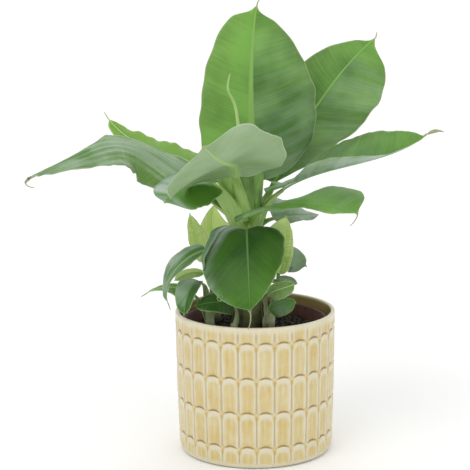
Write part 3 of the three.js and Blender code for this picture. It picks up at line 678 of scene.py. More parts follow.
def compost_material():
    """Peat and bark compost, crumbly and moist: near black with paler fibres and crumbs."""
    material, tree, place = new_material("peat_compost")
    crumbs = add(tree, "ShaderNodeTexVoronoi", {"Vector": place, "Scale": 1 / (2.6 * MM)})
    fibres = add(tree, "ShaderNodeTexNoise", {"Vector": place, "Scale": 1 / (1.4 * MM), "Detail": 5.0})
    tone = add(
        tree, "ShaderNodeValToRGB", {"Fac": fibres},
        stops=[(0.3, "#0f0b0a"), (0.62, "#211612"), (0.8, "#4f3d31")])
    # One crumb in about ten is pale perlite or bark.
    pale = add(
        tree, "ShaderNodeMapRange",
        {"Value": crumbs.outputs["Color"], "From Min": 0.82, "From Max": 0.9, "To Min": 0.0, "To Max": 0.5})
    speckled = add(tree, "ShaderNodeMix", {0: pale, MIX_A: tone, MIX_B: "#8a7866"}, data_type="RGBA")
    height = add(tree, "ShaderNodeMath", {0: fibres, 1: crumbs.outputs["Distance"]}, operation="SUBTRACT")
    rough = add(tree, "ShaderNodeMapRange", {"Value": fibres, "To Min": 0.75, "To Max": 1.0})
    finish_material(tree, speckled.outputs[MIX_RESULT], height, 0.8, rough)
    return material


# What each kind of leaf shows: the deep and the light tone of the upper face, its midrib and thin margin,
# the tones of the underside and of the rib there, how rough the upper face is, how much light passes through
# the blade, and how strongly it shines.
LEAF_TONES = {
    "bright": dict(
        deep="#3f6530", light="#70a04c", midrib="#87ac5c", margin="#94a67c",
        under_deep="#5f8450", under_light="#82a36c", under_rib="#93b470", rough=0.42, glow=0.15, gloss=0.2),
    "dark": dict(
        deep="#2a4e1c", light="#4a7a28", midrib="#5f8a45", margin="#86a66c",
        under_deep="#567559", under_light="#7d9781", under_rib="#8fb078", rough=0.36, glow=0.08, gloss=0.4),
    "pale": dict(
        deep="#638a4c", light="#7ca066", midrib="#9cbf7c", margin="#b5c8a4",
        under_deep="#7b9668", under_light="#9bb192", under_rib="#9aba72", rough=0.45, glow=0.1, gloss=0.5),
    "lime": dict(
        deep="#628a3c", light="#c4dd92", midrib="#c4dc9c", margin="#a9ba8c",
        under_deep="#7fa456", under_light="#b2cf84", under_rib="#c0d89c", rough=0.42, glow=0.3, gloss=0.3),
    "streaked": dict(
        deep="#4b7636", light="#7a9b58", midrib="#8ea878", margin="#a3b096",
        under_deep="#7b9478", under_light="#98ad98", under_rib="#a0b88c", rough=0.33, glow=0.1, gloss=0.5),
    "blue": dict(
        deep="#4f6e4c", light="#7a957a", midrib="#7c9a6c", margin="#8b9a83",
        under_deep="#7b9478", under_light="#98ad98", under_rib="#a0b88c", rough=0.33, glow=0.1, gloss=0.5),
}
# The blue grey of the wax bloom, partly a painted sheen.
BLOOM_AND_SHEEN = "#a6b5ac"
DRY_LEAF = "#9c9a7a"


def wax_bloom_and_sheen(tree, tint, amount, clouds, values):
    """How thick the wax bloom with its painted sheen lies: this much of it, in patches and in streaks.

    The streaks are 8 mm wide and 60 mm long and run along the side veins. On a streaked blade they are
    4.5 mm wide and 110 mm long, run along the blade and have harder edges."""
    streaked = tint == "streaked"
    vein_size, across_size = (110, 4.5) if streaked else (8, 60)
    low, high = (0.88, 1.08) if streaked else (0.75, 1.2)
    streaks = streaks_of(
        tree, values["vein"], vein_size, values["across"], across_size, values["seed"], Detail=2.0)
    patchy = add(tree, "ShaderNodeMath", {0: streaks, 1: clouds}, operation="ADD")
    patches = add(tree, "ShaderNodeMapRange", {"Value": patchy, "From Min": low, "From Max": high})
    return add(tree, "ShaderNodeMath", {0: amount, 1: patches}, operation="MULTIPLY", use_clamp=True)


def leaf_skin(tint, tones, upper):
    """Living leaf skin with a thin wax and painted sheen: fine side veins, a pale midrib, a thin margin and a
    dry tip.
    """
    material, tree, place = new_material(f"banana_leaf_{tint}_{'upper' if upper else 'under'}")
    values = {
        key: add(tree, "ShaderNodeAttribute", attribute_name=key).outputs["Fac"]
        for key in ("across", "vein", "margin", "rib", "dry", "seed", "light", "bloom_and_sheen", "under_bloom")
    }
    # Side veins, drawn 1.2 mm wide and 45 mm long because the real ones, under 1 mm, are too fine to show.
    veins = streaks_of(
        tree, values["vein"], 1.2, values["across"], 45, values["seed"], Detail=3.0, Roughness=0.55)
    # Slow changes of tone over the blade, about 38 mm across, with smaller mottles of 9 mm.
    clouds = add(
        tree, "ShaderNodeTexNoise",
        {"Vector": place, "Scale": 1 / (38 * MM), "Detail": 3.0, "Roughness": 0.45})
    cloud_tone = add(tree, "ShaderNodeMapRange", {"Value": clouds, "From Min": 0.25, "From Max": 0.75})
    streak = add(
        tree, "ShaderNodeMapRange",
        {"Value": veins, "From Min": 0.3, "From Max": 0.7, "To Min": -0.16, "To Max": 0.16})
    varied = add(tree, "ShaderNodeMath", {0: streak, 1: cloud_tone}, operation="ADD")
    # The light value paints the blade lighter or darker: painted light and shade where a leaf lies lit, glows
    # through or lies in the shadow of others.
    tone_place = add(
        tree, "ShaderNodeMath", {0: varied, 1: values["light"]}, operation="ADD", use_clamp=True)
    deep, light = (tones["deep"], tones["light"]) if upper else (tones["under_deep"], tones["under_light"])
    living = add(tree, "ShaderNodeMix", {0: tone_place, MIX_A: deep, MIX_B: light}, data_type="RGBA")
    bloom_and_sheen_cover = wax_bloom_and_sheen(tree, tint, values["bloom_and_sheen" if upper else "under_bloom"], clouds, values)
    # The midrib, a little wider than the rib that carries it, with a soft edge.
    distance = add(tree, "ShaderNodeMath", {0: values["across"]}, operation="ABSOLUTE")
    share = add(tree, "ShaderNodeMath", {0: distance, 1: values["rib"]}, operation="DIVIDE")
    rib_mask = add(
        tree, "ShaderNodeMapRange",
        {"Value": share, "From Min": 0.5, "From Max": 1.4, "To Min": 1.0, "To Max": 0.0},
        interpolation_type="SMOOTHSTEP")
    # The margin line, drawn 0.9 mm wide.
    margin_mask = add(
        tree, "ShaderNodeMapRange",
        {"Value": values["margin"], "From Min": 0.3, "From Max": 1.2, "To Min": 0.75, "To Max": 0.0})
    # Wax bloom with painted sheen, midrib, margin and dry tip lie over the living tissue in this order.
    layers = [
        (bloom_and_sheen_cover, BLOOM_AND_SHEEN),
        (rib_mask, tones["midrib"] if upper else tones["under_rib"]),
        (margin_mask, tones["margin"]),
        (values["dry"], DRY_LEAF),
    ]
    colour = living.outputs[MIX_RESULT]
    for cover, tone in layers:
        layer = add(tree, "ShaderNodeMix", {0: cover, MIX_A: colour, MIX_B: tone}, data_type="RGBA")
        colour = layer.outputs[MIX_RESULT]
    rough = tones["rough"] if upper else 0.55
    gloss = add(tree, "ShaderNodeMapRange", {"Value": clouds, "To Min": rough - 0.1, "To Max": rough + 0.1})
    finish_material(
        tree, colour, veins, 0.12 if upper else 0.2, gloss,
        IOR=1.42, Specular_IOR_Level=tones["gloss"], Subsurface_Weight=tones["glow"],
        Subsurface_Scale=4 * MM, Subsurface_Radius=(0.7, 1.0, 0.35))
    return material


def sheath_material():
    """Leaf sheaths and stalks: smooth, firm and juicy, with long fibres and pale dry margins."""
    material, tree, place = new_material("banana_sheath")
    values = {
        key: add(tree, "ShaderNodeAttribute", attribute_name=key).outputs["Fac"]
        for key in ("along", "around", "edge", "light", "seed", "age")
    }
    # Long fibres, drawn 1.3 mm wide and 70 mm long, and clouds of tone of 14 mm.
    fibres = streaks_of(tree, values["around"], 1.3, values["along"], 70, values["seed"], Detail=2.0)
    clouds = add(tree, "ShaderNodeTexNoise", {"Vector": place, "Scale": 1 / (14 * MM), "Detail": 2.0})
    tone_place = add(tree, "ShaderNodeMath", {0: fibres, 1: clouds}, operation="ADD")
    half = add(tree, "ShaderNodeMath", {0: tone_place, 1: 0.5}, operation="MULTIPLY")
    # Each stalk and young sheath is painted lighter or darker by its light value: painted light and shade
    # where it lies lit or in the shade of the others.
    lit = add(tree, "ShaderNodeMath", {0: half, 1: values["light"]}, operation="ADD")
    tone = add(
        tree, "ShaderNodeValToRGB", {"Fac": lit},
        stops=[(0.15, "#476b28"), (0.38, "#648b3b"), (0.5, "#7a9e49"), (0.64, "#95b564")])
    edged = add(tree, "ShaderNodeMix", {0: values["edge"], MIX_A: tone, MIX_B: "#b9b48a"}, data_type="RGBA")
    # Towards the compost the main stem's sheaths are old, dark green and then brown, painted darker still as
    # painted shade under the leaves; young ones turn pale, painted lighter still as painted light.
    up = add(tree, "ShaderNodeSeparateXYZ", {0: place}).outputs[2]
    low = add(
        tree, "ShaderNodeMapRange",
        {"Value": up, "From Min": 112 * MM, "From Max": 170 * MM, "To Min": 1.0, "To Max": 0.0},
        interpolation_type="SMOOTHSTEP")
    old_and_shaded = add(tree, "ShaderNodeValToRGB", {"Fac": clouds}, stops=[(0.4, "#454a2a"), (0.65, "#786c50")])
    young_and_lit = add(tree, "ShaderNodeValToRGB", {"Fac": fibres}, stops=[(0.35, "#a3b57c"), (0.65, "#d0d9b4")])
    aged = add(tree, "ShaderNodeMix", {0: values["age"], MIX_A: young_and_lit, MIX_B: old_and_shaded}, data_type="RGBA")
    browned = add(
        tree, "ShaderNodeMix",
        {0: low, MIX_A: edged.outputs[MIX_RESULT], MIX_B: aged.outputs[MIX_RESULT]},
        data_type="RGBA")
    # The lowest millimetres are dark with moist compost.
    moist = add(
        tree, "ShaderNodeMapRange",
        {"Value": up, "From Min": 110 * MM, "From Max": 117 * MM, "To Min": 0.85, "To Max": 0.0})
    soiled = add(
        tree, "ShaderNodeMix", {0: moist, MIX_A: browned.outputs[MIX_RESULT], MIX_B: "#211914"},
        data_type="RGBA")
    rough = add(tree, "ShaderNodeMapRange", {"Value": clouds, "To Min": 0.34, "To Max": 0.5})
    finish_material(tree, soiled.outputs[MIX_RESULT], fibres, 0.18, rough, IOR=1.42)
    return material


# Leaves


def outline_shape(powers, s):
    """Half-width of a leaf at shares s of its blade, as a part of its widest place."""
    def raw(k):
        return k ** powers[0] * (1 - k) ** powers[1] * (1 - np.exp(-(1 - k) / DRIP_LENGTH))
    return raw(np.clip(s, 0, 1)) / raw(np.arange(1, 400) / 400).max()


def tail_places(leaf, end):
    """The dry thread after the tip: its points and directions, curved through the steps of the table."""
    corners = np.concatenate([[end], end + np.cumsum(leaf["tail"], axis=0)])
    return follow(curve_through(corners)[2], np.linspace(0, 1, THREAD_STEPS + 1)[1:])


def add_sheet(mesh, upper, lower, values):
    """Adds a closed sheet with this upper and lower side and these values to a mesh.

    The columns run from the left to the right of someone who looks along the rows from above. The upper
    side has the first material; the lower side and the rim, which is flat, have the second."""
    rows, width = upper.shape[:2]
    count = rows * width
    first = sum(len(block) for block in mesh.points)

    def quad(a, b, c, d, slot, is_rim=False):
        if is_rim:
            mesh.flat.append(len(mesh.faces))
        mesh.faces.append((first + a, first + b, first + c, first + d))
        mesh.slots.append(slot)

    e, z = width - 1, count - width
    for i in range(rows - 1):
        a, b = i * width, (i + 1) * width
        for k in range(width - 1):
            quad(a + k, a + k + 1, b + k + 1, b + k, 0)
            quad(count + a + k, count + b + k, count + b + k + 1, count + a + k + 1, 1)
        quad(a, b, count + b, count + a, 1, True)
        quad(a + e, count + a + e, count + b + e, b + e, 1, True)
    for k in range(width - 1):
        quad(k, count + k, count + k + 1, k + 1, 1, True)
        quad(z + k, z + k + 1, count + z + k + 1, count + z + k, 1, True)
    mesh.points.append(np.concatenate([upper.reshape(-1, 3), lower.reshape(-1, 3)]))
    for key, value in values.items():
        mesh.values[key].append(np.tile((value + np.zeros((rows, width))).ravel(), 2))


def rolled_margin(roll, s, middle, normal, values):
    """A strip that goes on from a blade's margin and rolls up over it, on part of the blade's length."""
    side = 0 if roll["side"] == 0 else -1
    inner = 1 if side == 0 else -2
    inside = np.nonzero((s >= roll["span"][0]) & (s <= roll["span"][1]))[0]
    margin, N = middle[inside, side], normal[inside, side]
    outward = unit(margin - middle[inside, inner])
    # The loose end of the roll goes on from where the blade begins.
    if any(roll["reach"]):
        back = np.linspace(1, 0, LOOSE_END_STEPS + 1)[:-1, None]
        margin = np.concatenate([margin[0] + np.array(roll["reach"]) * back ** [1, 1, 1.2], margin])
        N = np.concatenate([np.repeat(N[:1], len(back), axis=0), N])
        outward = np.concatenate([np.repeat(outward[:1], len(back), axis=0), outward])
        inside = np.concatenate([np.repeat(inside[:1], len(back)), inside])
    share = np.linspace(0, 1, len(margin))
    radius = np.interp(share, np.linspace(0, 1, len(roll["radii"])), roll["radii"])[:, None]
    angle = np.radians(roll["turn"]) * np.linspace(0, 1, ROLL_STEPS + 1)
    # The roll tightens towards its free edge.
    r = radius * (1 - 0.25 * angle / (2 * np.pi))
    place = beside(margin, outward, r * np.sin(angle), N, r * (1 - np.cos(angle)))
    facing = N[:, None] * np.cos(angle)[:, None] - outward[:, None] * np.sin(angle)[:, None]
    kept = {key: values[key][inside, side][:, None] + 0 * angle for key in values}
    kept["margin"] = r * (angle[-1] - angle)
    kept["across"] = kept["across"] + np.sign(kept["across"]) * r * angle
    loose_end = 1 - ease(share, 0.02, 0.1)[:, None]
    kept["dry"] = np.maximum(kept["dry"], roll.get("dry", 0) * loose_end)
    # The loose end is painted darker: painted shade inside the roll.
    kept["light"] = kept["light"] - 2 * loose_end
    if side == 0:
        place, facing = place[:, ::-1], facing[:, ::-1]
        kept = {key: value[:, ::-1] for key, value in kept.items()}
    return place + facing * SHEET / 2, place - facing * SHEET / 2, kept


def curled_thread(curled, number):
    """A fibre, 0.5 mm wide and 0.44 mm thick, that has peeled off the margin and curled into a ring."""
    angle = np.radians(np.linspace(105, 440, 40))[:, None]
    outward = np.stack([np.cos(angle), 0 * angle, np.sin(angle)], axis=-1)
    wide = np.array([[-0.25], [0], [0.25]]) * [0, 1, 0]
    ring = curled["middle"] + outward * curled["radius"] + wide
    # The fibre is painted fully light: painted light.
    values = dict(
        across=4, vein=angle * 3, margin=0.2, rib=0.3, dry=0.2, seed=number * LEAF_SEED_STEP, light=1,
        bloom_and_sheen=0, under_bloom=0)
    return ring + outward * 0.22, ring - outward * 0.22, values


def blade_grid(leaf):
    """The rows and columns of a blade.

    s is a row's share of the blade's length, and the rows of the dry thread follow the tip. T runs along the
    blade, N out of its upper face and L to its left. v is a column's share of its half."""
    knots, total, at = curve_through(leaf["path"])
    length = total * (1 - knots[1])
    rows, columns = LONG_BLADE_STEPS if length > LONG_LEAF else SHORT_BLADE_STEPS
    # The rows lie closer together at the collar and at the tip.
    s = 0.5 * (1 - np.cos(np.pi * np.arange(rows + 1) / rows))
    centres, T = follow(at, mix(knots[1] + CLEARANCE / total, 1, s))
    if "tail" in leaf:
        thread, thread_way = tail_places(leaf, centres[-1])
        centres, T = np.concatenate([centres, thread]), np.concatenate([T, thread_way])
        s = np.concatenate([s, np.ones(len(thread))])
    s = s[:, None]
    start, end = [direction(*angles) for angles in leaf["faces"]]
    N = square_to(T, mix(start, end, s))
    column = np.arange(-columns, columns + 1)
    return SimpleNamespace(
        length=length, rows=rows, s=s, on_tail=np.arange(len(s))[:, None] > rows, centres=centres, T=T, N=N,
        L=np.cross(N, T), side=(column >= 0).astype(int), sign=np.where(column < 0, 1.0, -1.0),
        v=(np.abs(column) / columns) ** 1.6)


def half_widths(leaf, number, grid, rib):
    """Half the width at every point, and the outline that it follows as a part of the widest place."""
    s, side = grid.s, grid.side
    shape = np.stack([outline_shape(p, s[:, 0]) for p in leaf["outline"]])[side].T
    # The margin swells and shrinks a little, and pinches in just before the tip.
    uneven = np.sin(23 * s + 2 * number + 2 * side) + np.sin(41 * s + 5 * number - side)
    pinch = leaf.get("pinch", 0.055)
    shape = shape * (1 + 0.01 * uneven) * (1 - 0.6 * (1 - ease(1 - s, pinch / 3, pinch)))
    shape = shape * ease(s, *leaf.get("narrow", [-0.2, -0.1]))
    half = np.maximum(shape * np.array(leaf["halves"])[side], np.maximum(rib * 0.9, 0.6))
    # Where a margin rolls up, the flat part is narrower by the roll's radius.
    for roll in leaf.get("rolls", []):
        places = np.linspace(*roll["span"], len(roll["radii"]))
        taken = np.interp(s, places, roll["radii"], left=0, right=0) * (side == roll["side"])
        half = np.maximum(half - taken, 1.5)
    for dent in leaf.get("dents", []):
        dip = dent["depth"] * np.exp(-((s - dent["middle"]) / dent["reach"]) ** 2)
        half = half - dip * (side == dent["side"])
    # The last rows are the dry thread, and the tip narrows to its width.
    thread_halves = leaf.get("thread_halves", [0.6, 0.3])
    half = np.maximum(half, thread_halves[0] * ease(s, 0.86, 0.93))
    thread_share = np.linspace(0, 1, len(s) - grid.rows)
    thread_half = np.interp(thread_share, np.linspace(0, 1, len(thread_halves)), thread_halves)
    half[grid.rows:] = thread_half[:, None]
    return half, shape


def blade_relief(leaf, number, grid, half, vein):
    """The fine shapes of a blade, as heights over its plain curve."""
    s, v, side = grid.s, grid.v, grid.side
    across = half * v
    waves = leaf["wave"][0] * v ** 2 * np.sin(2 * np.pi * leaf["wave"][1] * s + 2 * side)
    # Low ribs along the side veins.
    ribs = np.sin(2 * np.pi * vein / VEIN_SPACING + 1.3 * np.sin(vein / 11 + number))
    ribs = VEIN_RELIEF * ribs * ease(across, 1.5, 6)
    # Slack places between the midrib and the margin.
    slack = np.sin(vein / 9.1 + number) + np.sin(vein / 5.3 + 2.1 * number + across / 14)
    slack = 0.012 * half * slack * ease(v, 0.25, 1)
    # Creases that run along the blade and wander a little.
    height, pitch = leaf.get("crease", [0, 7])
    crease_way = 2 * np.pi * across / pitch + 1.6 * np.sin(5 * s + side) + 0.9 * np.sin(11 * s)
    creases = height * np.sin(crease_way) * ease(across, 1.5, 5)
    # Small ripples of the margin.
    ripples = np.sin(grid.length * s / 2.1 + 1.2 * np.sin(9 * s + number) + side)
    ripples = leaf.get("ripple", 0.2) * ripples * ease(v, 0.7, 1)
    return waves, ribs, slack, creases, ripples


def blade_piece(leaf, number, materials):
    """One blade, grown by the rule that part.mjs uses, with finer steps, thin margins and a round keel."""
    grid = blade_grid(leaf)
    s, v, side, sign, on_tail = grid.s, grid.v, grid.side, grid.sign, grid.on_tail

    def of_side(pairs):
        """A size given at collar and tip for both halves, at every point of the blade."""
        return mix(np.array(pairs[0])[side], np.array(pairs[1])[side], s)

    rib = mix(leaf["stalk"][1], RIB_TIP, s)
    half, shape = half_widths(leaf, number, grid, rib)
    fold, curl = np.radians(of_side(leaf["fold"])), np.radians(of_side(leaf["curl"]))
    curl = np.where(np.abs(curl) < 1e-3, 1e-3, curl)
    slope = fold - curl * v
    out = half * (np.sin(fold) - np.sin(slope)) / curl
    up = half * (np.cos(slope) - np.cos(fold)) / curl

    across = half * v
    # The side veins leave the midrib at about 75 degrees and bend on towards the tip.
    vein = grid.length * s - leaf.get("sweep", 0.28) * across - 0.003 * across ** 2 + 3 * side
    on_blade = np.where(on_tail, 0, np.minimum(1, 2 * shape))
    for height in blade_relief(leaf, number, grid, half, vein):
        up = up + height * on_blade
    lobe = leaf.get("lobe", 0) * v * (1 - s) ** 5 * np.where(on_tail, 0, np.minimum(1, 3 * shape))

    middle = beside(grid.centres, grid.L, sign * out, grid.N, up) - grid.T[:, None] * lobe[..., None]
    normal = (grid.N[:, None] * np.cos(slope)[..., None]
              - grid.L[:, None] * (sign * np.sin(slope))[..., None])
    thin = SHEET / 2 * mix(1, 0.5, v)
    # The midrib is a channel above and a round keel below.
    channel = 0.4 * rib * np.exp(-(across / (0.8 * rib)) ** 2)
    keel = 0.8 * rib * np.sqrt(np.maximum(0, 1 - (across / (1.2 * rib)) ** 2))
    keel = np.where(on_tail, 0.9 * half * np.sqrt(1 - v ** 2), keel)
    upper = middle + normal * (thin - channel)[..., None]
    lower = middle - normal * (thin + keel)[..., None]

    none = [[0, 0], [0, 0]]
    # The light value is painted light and shade; the bloom is wax bloom with painted sheen.
    bloom_and_sheen = of_side(leaf.get("bloom_and_sheen", none)) * (1 - ease(s, *leaf.get("bloom_and_sheen_end", [0.8, 0.93])))
    rim_bloom = np.array(leaf.get("rim", [0, 0]))[side] * (1 - ease(half * (1 - v), 0, 10)) * (1 - s)
    values = dict(
        across=across * sign, vein=vein, margin=half * (1 - v),
        rib=mix(leaf.get("rib", leaf["stalk"][1]), RIB_TIP, s),
        dry=np.maximum(ease(s, 0.965, 0.998), on_tail) * leaf.get("dry", 0.85),
        seed=number * LEAF_SEED_STEP, light=of_side(leaf.get("light", none)), bloom_and_sheen=bloom_and_sheen + rim_bloom,
        under_bloom=leaf.get("under_bloom", 0))
    values = {key: value + 0 * across for key, value in values.items()}

    mesh = SimpleNamespace(points=[], faces=[], slots=[], flat=[], values={key: [] for key in values})
    add_sheet(mesh, upper, lower, values)
    grown = slice(0, grid.rows + 1)
    on_rows = {key: value[grown] for key, value in values.items()}
    for roll in leaf.get("rolls", []):
        add_sheet(mesh, *rolled_margin(roll, s[grown, 0], middle[grown], normal[grown], on_rows))
    if "curled" in leaf:
        add_sheet(mesh, *curled_thread(leaf["curled"], number))
    joined = {key: np.concatenate(value) for key, value in mesh.values.items()}
    piece = piece_from(
        leaf["name"] + "_blade", np.concatenate(mesh.points), mesh.faces, materials, joined,
        mesh.slots, mesh.flat)
    declare(piece, leaf["name"])


def rolled_leaf(materials):
    """The new leaf, rolled up on itself: a tube whose outer turn ends in a thin lapping margin."""
    points = np.array(SPEAR, float)
    rows, sides = SPEAR_STEPS
    k = np.linspace(0, 1, rows)
    place = k * (len(points) - 1)
    i = np.minimum(place.astype(int), len(points) - 2)
    f = (place - i)[:, None]
    before = points[np.maximum(i - 1, 0)]
    after = points[np.minimum(i + 2, len(points) - 1)]
    a, b = points[i], points[i + 1]
    centres = 0.5 * (2 * a + (b - before) * f + (2 * before - 5 * a + 4 * b - after) * f ** 2
                     + (3 * a - before - 3 * b + after) * f ** 3)
    radius = np.interp(place, np.arange(len(points)), SPEAR_RADII)
    T = unit(np.gradient(centres, axis=0))
    X = unit(np.cross([0.0, 1.0, 0.0], T))
    Y = np.cross(T, X)
    turn = np.arange(sides) / sides
    # The lap runs slowly round the tube on its way up; the wall steps by a sixth of the radius there.
    angle = 2 * np.pi * turn - 0.4 - 1.8 * k[:, None]
    r = radius[:, None] * (1.04 - 0.16 * turn + 0.02 * np.sin(9 * angle + 20 * k[:, None]))
    rings = beside(centres, X, r * np.cos(angle), Y, r * np.sin(angle))
    along = np.linalg.norm(points[-1] - points[0]) * k[:, None]
    lap = np.minimum(turn, 1 - turn) * 2 * np.pi * radius[:, None]
    # The rolled leaf is painted a little lighter: painted light.
    values = dict(
        across=lap + 4, vein=along * 0.35 + lap * 2.4, margin=np.where(turn < 0.5, lap, 5), rib=0.3,
        dry=ease(k[:, None], 0.96, 1), seed=91, light=0.4, bloom_and_sheen=0, under_bloom=0)
    values = {key: value_with_ends(value + 0 * lap) for key, value in values.items()}
    piece = piece_from(
        "leaf_rolled_blade", with_ends(rings), tube_faces(rows, sides), materials[1:], values)
    declare(piece, "leaf_rolled")


# Stems


def sheath_radius(stem, height):
    """Radius of a stem's sheath at a share of its height."""
    foot, waist, crown = stem["radii"]
    places = np.interp(height, [row[0] for row in SHEATH], [row[1] for row in SHEATH])
    return np.interp(places, [0, 1, 2], [foot, waist, crown])


def stem_core(stem):
    """The tight inner sheaths, wound round each other with a low step at every margin."""
    rows, sides = MAIN_CORE_STEPS if stem["name"] == "stem_main" else SHOOT_CORE_STEPS
    k = np.linspace(0, 1, rows)[:, None]
    base = np.array(stem["foot"] + [SOIL_Z + CLEARANCE], float)
    centres = mix(base, np.array(stem["top"], float), k)
    angle = 2 * np.pi * np.arange(sides) / sides
    r = sheath_radius(stem, k)
    step = 0.05 * r
    for margin, twist in ((0.1, 0.7), (0.45, -0.9), (0.78, 0.5)):
        turn = (angle / (2 * np.pi) + margin + twist * k / 6) % 1
        r = r + step * (0.5 - turn)
    r = r + 0.012 * r * np.sin(23 * angle + 2 * k)
    rings = centres[:, None] + np.stack([r * np.cos(angle), r * np.sin(angle), 0 * r], axis=-1)
    return rings, dict(along=k * (stem["top"][2] - SOIL_Z), around=r * angle, edge=0, light=0)


def stalk_rows(leaf, at, collar):
    """A stalk from its foot to the collar: at every row the middle, the way T, the upper side N, the radius,
    half the angle that the round back spans, and how thick the wings and the middle are."""
    foot_radius, collar_radius = leaf["stalk"]
    k = np.linspace(0, 1, STALK_RINGS)
    centres, T = follow(at, k * collar)
    radius = mix(foot_radius * leaf.get("spread", 1.25), collar_radius * 1.1, ease(k, -0.15, 0.95))
    return dict(
        centres=centres, T=T, N=square_to(T, direction(*leaf["faces"][0])), radius=radius,
        wing=np.radians(mix(118, 84, k)), lip=np.minimum(0.16 * radius, 0.9),
        core=1.25 * mix(foot_radius * 0.8, collar_radius, k))


def clasp_rows(stem, leaf, number, stalk):
    """The same for the sheath below the stalk's foot, which lies round the stem at its lower end."""
    foot = {key: value[0] for key, value in stalk.items()}
    base = np.array(stem["foot"] + [SOIL_Z + CLEARANCE], float)
    top = np.array(stem["top"], float)
    q = np.linspace(0, 1, CLASP_RINGS + 1)[:-1]
    z = mix(foot["centres"][2] - stem["clasp"], foot["centres"][2], q)
    height = np.clip((z - base[2]) / (top[2] - base[2]), 0, 1)
    axis = mix(base, top, height[:, None])
    axis[:, 2] = z
    grow = ease(q, 0.25, 1)[:, None]
    centres = axis + (np.append(foot["centres"][:2], 0) - np.append(axis[-1][:2], 0)) * grow
    # On the main stem every further sheath lies a little further out.
    hug = sheath_radius(stem, height) + 0.04 * leaf["stalk"][0] + 0.22 * number * (stem["clasp"] > 20)
    radius = mix(hug, foot["radius"], grow[:, 0])
    radius = mix(sheath_radius(stem, height) * 0.93, radius, ease(q, 0, 0.35))
    N = unit(mix(unit(foot["N"] * [1, 1, 0]), foot["N"], ease(q, 0.7, 1)[:, None]))
    T = unit(mix(np.tile([0.0, 0.0, 1.0], (len(q), 1)), foot["T"], ease(q, 0.6, 1)[:, None]))
    opening = ease(q, 0.3, 1)
    thick = mix(0.05 * foot["radius"], foot["core"], ease(q, 0.45, 1))
    return dict(
        centres=centres, T=T, N=square_to(T, N), radius=radius,
        wing=mix(np.radians(132), foot["wing"], opening), lip=mix(0.25, foot["lip"], opening),
        core=np.maximum(thick, 0.3))


def stalk_rings(stem, leaf, number):
    """A channelled stalk that widens downwards into a sheath clasping the stem.

    Each ring is a crescent: a round back away from the stem, a channel on the leaf's upper side, and
    two thin wings. From the stalk's foot down, the crescent opens until it lies round the stem."""
    knots, total, at = curve_through(leaf["path"])
    stalk = stalk_rows(leaf, at, knots[1])
    clasp = clasp_rows(stem, leaf, number, stalk)
    rows = SimpleNamespace(**{key: np.concatenate([clasp[key], stalk[key]]) for key in stalk})
    L = np.cross(rows.N, rows.T)
    share = np.linspace(-1, 1, STALK_STEPS + 1)
    phi = rows.wing[:, None] * share
    outer = rows.radius[:, None] + 0 * phi
    deep = (rows.core - rows.lip)[:, None] * np.cos(np.pi / 2 * share) ** 2
    inner = rows.radius[:, None] - rows.lip[:, None] - deep
    # Fine ribs along the round back.
    outer = outer * (1 + 0.012 * np.cos(phi * 13 + number))
    back = beside(rows.centres, rows.N, -outer * np.cos(phi), L, outer * np.sin(phi))
    channel = beside(rows.centres, rows.N, -inner * np.cos(phi), L, inner * np.sin(phi))
    rings = np.concatenate([back, channel[:, ::-1]], axis=1)
    reach = np.linspace(0, total * knots[1] + stem["clasp"], len(rows.centres))[:, None]
    around = np.concatenate([outer * phi, (outer * phi)[:, ::-1]], axis=1)
    edge = ease(np.abs(share), 0.93, 1) * 0.6
    edge = np.concatenate([edge, edge[::-1]])
    return rings, dict(along=reach, around=around, edge=edge, light=leaf.get("stalk_painted_light", 0))


def fan_rings(fan):
    """One of the young sheaths that fill the fan of stalks."""
    total, at = curve_through(fan["path"])[1:]
    rows, sides = FAN_STEPS
    k = np.linspace(0, 1, rows)
    centres, T = follow(at, k)
    L = unit(np.cross([0, -1, 0], T))
    deep = np.cross(T, L)
    round_top = np.sqrt(np.maximum(1 - np.clip((k - 0.85) / 0.15, 0, 1) ** 2, 0.05))[:, None]
    half = np.interp(k, [0, 0.5, 1], fan["halves"])[:, None] * round_top
    depth = np.interp(k, [0, 0.5, 1], fan["depths"])[:, None] * round_top
    phi = 2 * np.pi * np.arange(sides) / sides
    ribs = 1 + 0.008 * np.sin(19 * phi)
    rings = beside(centres, L, half * np.cos(phi) * ribs, deep, depth * np.sin(phi) * ribs)
    edge = 0.6 * ease(np.abs(np.cos(phi)), 0.985, 1)
    return rings, dict(along=k[:, None] * total, around=half * phi, edge=edge, light=fan["light"])


def stem_piece(stem, material):
    """A stem with all its stalks, as one piece in the place of its node."""
    parts = [stem_core(stem)]
    main = stem["name"] == "stem_main"
    if main:
        parts += [fan_rings(fan) for fan in FANS]
    leaves = [leaf for leaf in LEAVES if leaf["stem"] == stem["name"]]
    parts += [stalk_rings(stem, leaf, i) for i, leaf in enumerate(leaves)]
    points, faces = [], []
    values = dict(along=[], around=[], edge=[], light=[], seed=[], age=[])
    count = 0
    for number, (rings, part_values) in enumerate(parts):
        faces += tube_faces(rings.shape[0], rings.shape[1], count)
        points.append(with_ends(rings))
        count += len(points[-1])
        part_values.update(seed=number * STALK_SEED_STEP, age=1.0 if main else 0.1)
        for key, value in part_values.items():
            values[key] += value_with_ends(value + np.zeros(rings.shape[:2])).tolist()
    piece = piece_from(stem["name"] + "_sheaths", np.concatenate(points), faces, [material], values)
    declare(piece, stem["name"])


# Pot


def wall_radius(z):
    """Radius of the plain outer wall at height z."""
    upper = mix(WAIST_RADIUS, RIM_RADIUS, np.clip((z - WAIST_Z) / (SHOULDER_Z - WAIST_Z), 0, 1))
    lower = mix(HEEL_RADIUS, WAIST_RADIUS, (z - HEEL_Z) / (WAIST_Z - HEEL_Z))
    return np.where(z > WAIST_Z, upper, lower)


